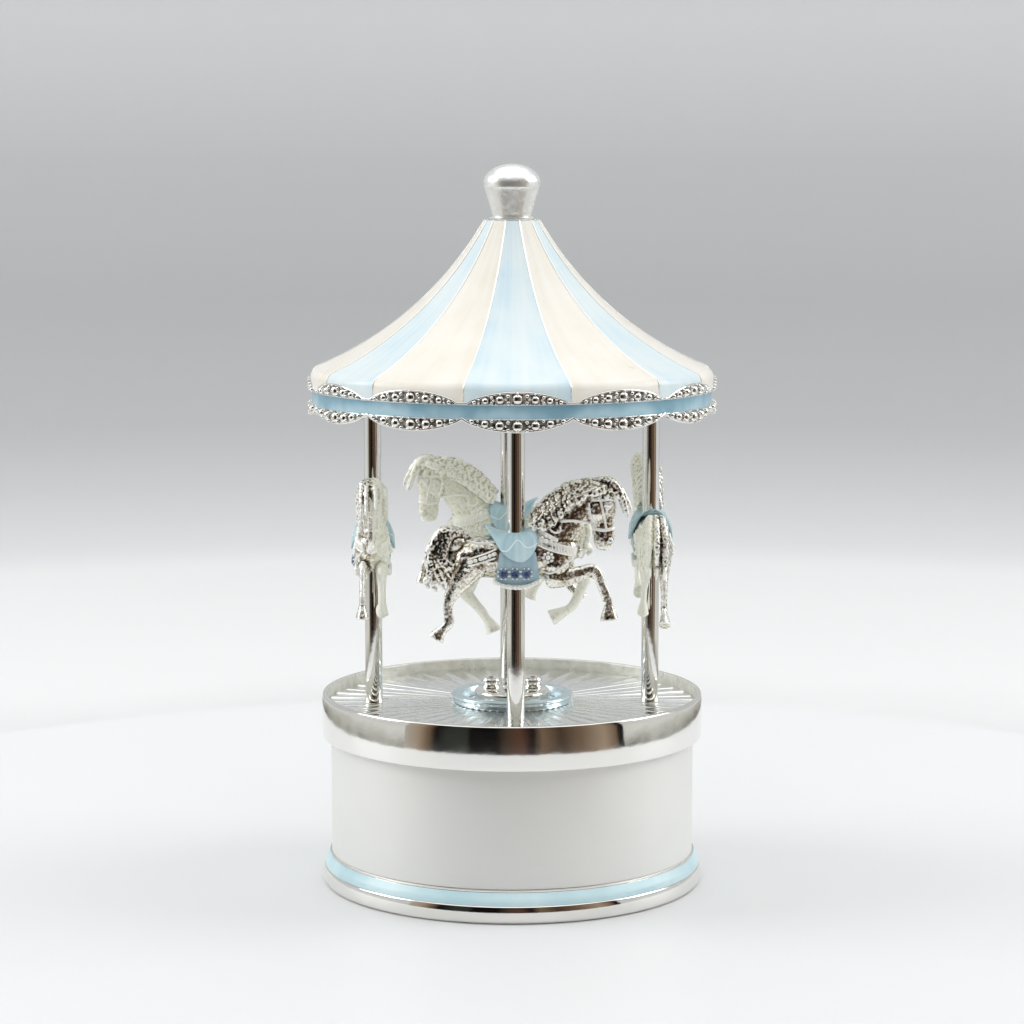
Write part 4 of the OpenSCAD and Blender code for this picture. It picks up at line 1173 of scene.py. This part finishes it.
def build_cove():
    """A pale floor that sweeps up into a round wall, painted greyer with height as a painted shade for the
    light's falloff.
    """
    f = Finish("cove_paper", Metallic=0.0)
    distance = f.part("Y", f.around())
    # Painted shade: a little darker round the box and much darker up the sweep, as the light falls off.
    painted_falloff = ((0.05, 0.755), (0.40, 0.785), (0.49, 0.765), (0.61, 0.64), (0.735, 0.46), (0.84, 0.415),
              (0.92, 0.46), (0.98, 0.57))
    f.colour(distance, *[(at, (v * 0.992, v * 1.002, v * 1.005)) for at, v in painted_falloff])
    f.rough(f.noise(40.0), 0.42, 0.5)
    f.shader.inputs["Specular IOR Level"].default_value = 0.25
    floor_r, sweep, wall_top = 560.0, 500.0, 1200.0
    profile = [(0.01, 0.0), (150.0, 0.0), (floor_r, 0.0)]
    profile += [(floor_r + sweep * math.sin(a), sweep * (1 - math.cos(a)))
                for a in (math.radians(6 * k) for k in range(1, 16))]
    profile += [(floor_r + sweep, wall_top)]
    studio_object("cove", Shape().revolve(profile, 96, closed=False), f.material)


def glow(name):
    """An emission material; its colour is linked by the caller."""
    f = Finish(name)
    f.tree.nodes.remove(f.shader)
    shine = f.tree.nodes.new("ShaderNodeEmission")
    f.tree.links.new(shine.outputs[0], f.tree.nodes["Material Output"].inputs["Surface"])
    return f, shine


def only_in_metal(obj):
    obj.visible_camera = obj.visible_diffuse = obj.visible_shadow = obj.visible_transmission = False


ROOM_HALF_DEG = 63                           # how far the dim room reaches to each side of the front
ROOM_NEAR, ROOM_FAR, ROOM_HIGH = 210.0, 520.0, 430.0
ROOM_Z = 0.6                                 # just over the floor


def build_room():
    """What stands round the table, seen only in polished metal: a dim room in front, grey beside."""
    f, shine = glow("dim_room")
    middle, span = -math.pi / 2, math.radians(ROOM_HALF_DEG)
    share = f.remap(f.part("X", f.around()), 0.0, 1.0, middle - span, middle + span)
    brown, black, green = (0.060, 0.040, 0.026), (0.006, 0.005, 0.005), (0.030, 0.034, 0.028)
    beige, tan = (0.34, 0.26, 0.19), (0.17, 0.115, 0.075)
    f.feed(shine.inputs["Color"], f.ramp(
        share, (0.0, (0.42, 0.40, 0.35)), (0.07, beige), (0.11, tan), (0.15, black),
        (0.22, green), (0.29, green), (0.31, black), (0.42, black), (0.47, brown),
        (0.52, (0.10, 0.045, 0.030)), (0.58, black), (0.62, tan), (0.70, brown), (0.80, tan), (0.90, beige),
        (0.96, tan), (0.975, black), (1.0, black)))
    shape, steps = Shape(), 48
    rows = []
    for r, z in ((ROOM_NEAR, ROOM_Z), (ROOM_FAR, ROOM_Z), (ROOM_FAR, ROOM_HIGH / 2),
                 (ROOM_FAR, ROOM_HIGH)):
        rows.append([polar(r, FRONT + ROOM_HALF_DEG * (2 * k / steps - 1), z) for k in range(steps + 1)])
    shape.grid(rows)
    only_in_metal(studio_object("room", shape, f.material))

    f, shine = glow("grey_surround")
    distance = f.part("Y", f.around())
    cloudy = f.math("ADD", distance, f.math("MULTIPLY", f.math("SUBTRACT", f.noise(16.0, 5.0), 0.5), 0.08))
    # Painted shadow: the ring is darkest along its near edge, the shadow line of the table's edge.
    f.feed(shine.inputs["Color"], f.ramp(cloudy, (0.205, (0.16, 0.15, 0.13)), (0.228, (0.45, 0.45, 0.41)),
                                         (0.26, (0.70, 0.70, 0.67)), (0.40, (0.55, 0.55, 0.52)),
                                         (0.50, (0.66, 0.66, 0.64))))
    ring, rest = Shape(), 360 - 2 * ROOM_HALF_DEG
    rows = [[polar(r, FRONT + ROOM_HALF_DEG + rest * k / steps, ROOM_Z) for k in range(steps + 1)]
            for r in (ROOM_NEAR, ROOM_FAR)]
    ring.grid(rows)
    only_in_metal(studio_object("surround", ring, f.material))


def softbox(name, at, size, power):
    """A square area light in metres, aimed at the middle of the music box."""
    data = bpy.data.lights.new(name, "AREA")
    data.shape = "RECTANGLE"
    data.size, data.size_y = size
    data.energy = power
    lamp = linked(name, data)
    lamp.location = at
    aim = Vector((0, 0, TOTAL_H * MM / 2)) - Vector(at)
    lamp.rotation_euler = aim.to_track_quat("-Z", "Y").to_euler()
    return lamp


def build_lights():
    softbox("overhead", (0, 0, 1.35), (2.3, 2.3), 19.0)
    softbox("left", (-0.80, 0.05, 0.52), (0.5, 0.45), 3.1)
    softbox("right", (0.80, 0.05, 0.52), (0.5, 0.45), 2.9)
    front = softbox("front", (0, -0.95, 0.75), (0.9, 0.5), 0.7)
    front.visible_glossy = False
    world = bpy.data.worlds.new("studio_air")
    world.use_nodes = True
    world.node_tree.nodes["Background"].inputs["Color"].default_value = (0.92, 0.96, 1.0, 1)
    world.node_tree.nodes["Background"].inputs["Strength"].default_value = 0.3
    scene.world = world
    scene.view_settings.view_transform = "Standard"


def build_camera():
    """The photograph's camera: 0.61 m away, 0.156 m up, tilted 7 degrees down."""
    data = bpy.data.cameras.new("camera")
    data.lens, data.sensor_width = 100.39, 36.0
    data.clip_start = 0.01
    camera = linked("camera", data)
    distance, height, azimuth, pitch = 0.6119, 0.15608, math.radians(-1.5), math.radians(7.056)
    camera.location = (distance * math.sin(azimuth), -distance * math.cos(azimuth), height)
    camera.rotation_euler = (math.pi / 2 - pitch, 0, azimuth)
    scene.camera = camera


build_camera()
build_base()
build_turntable()
build_canopy()
build_finial()
build_horses()
finish_cad()
build_cove()
build_room()
build_lights()
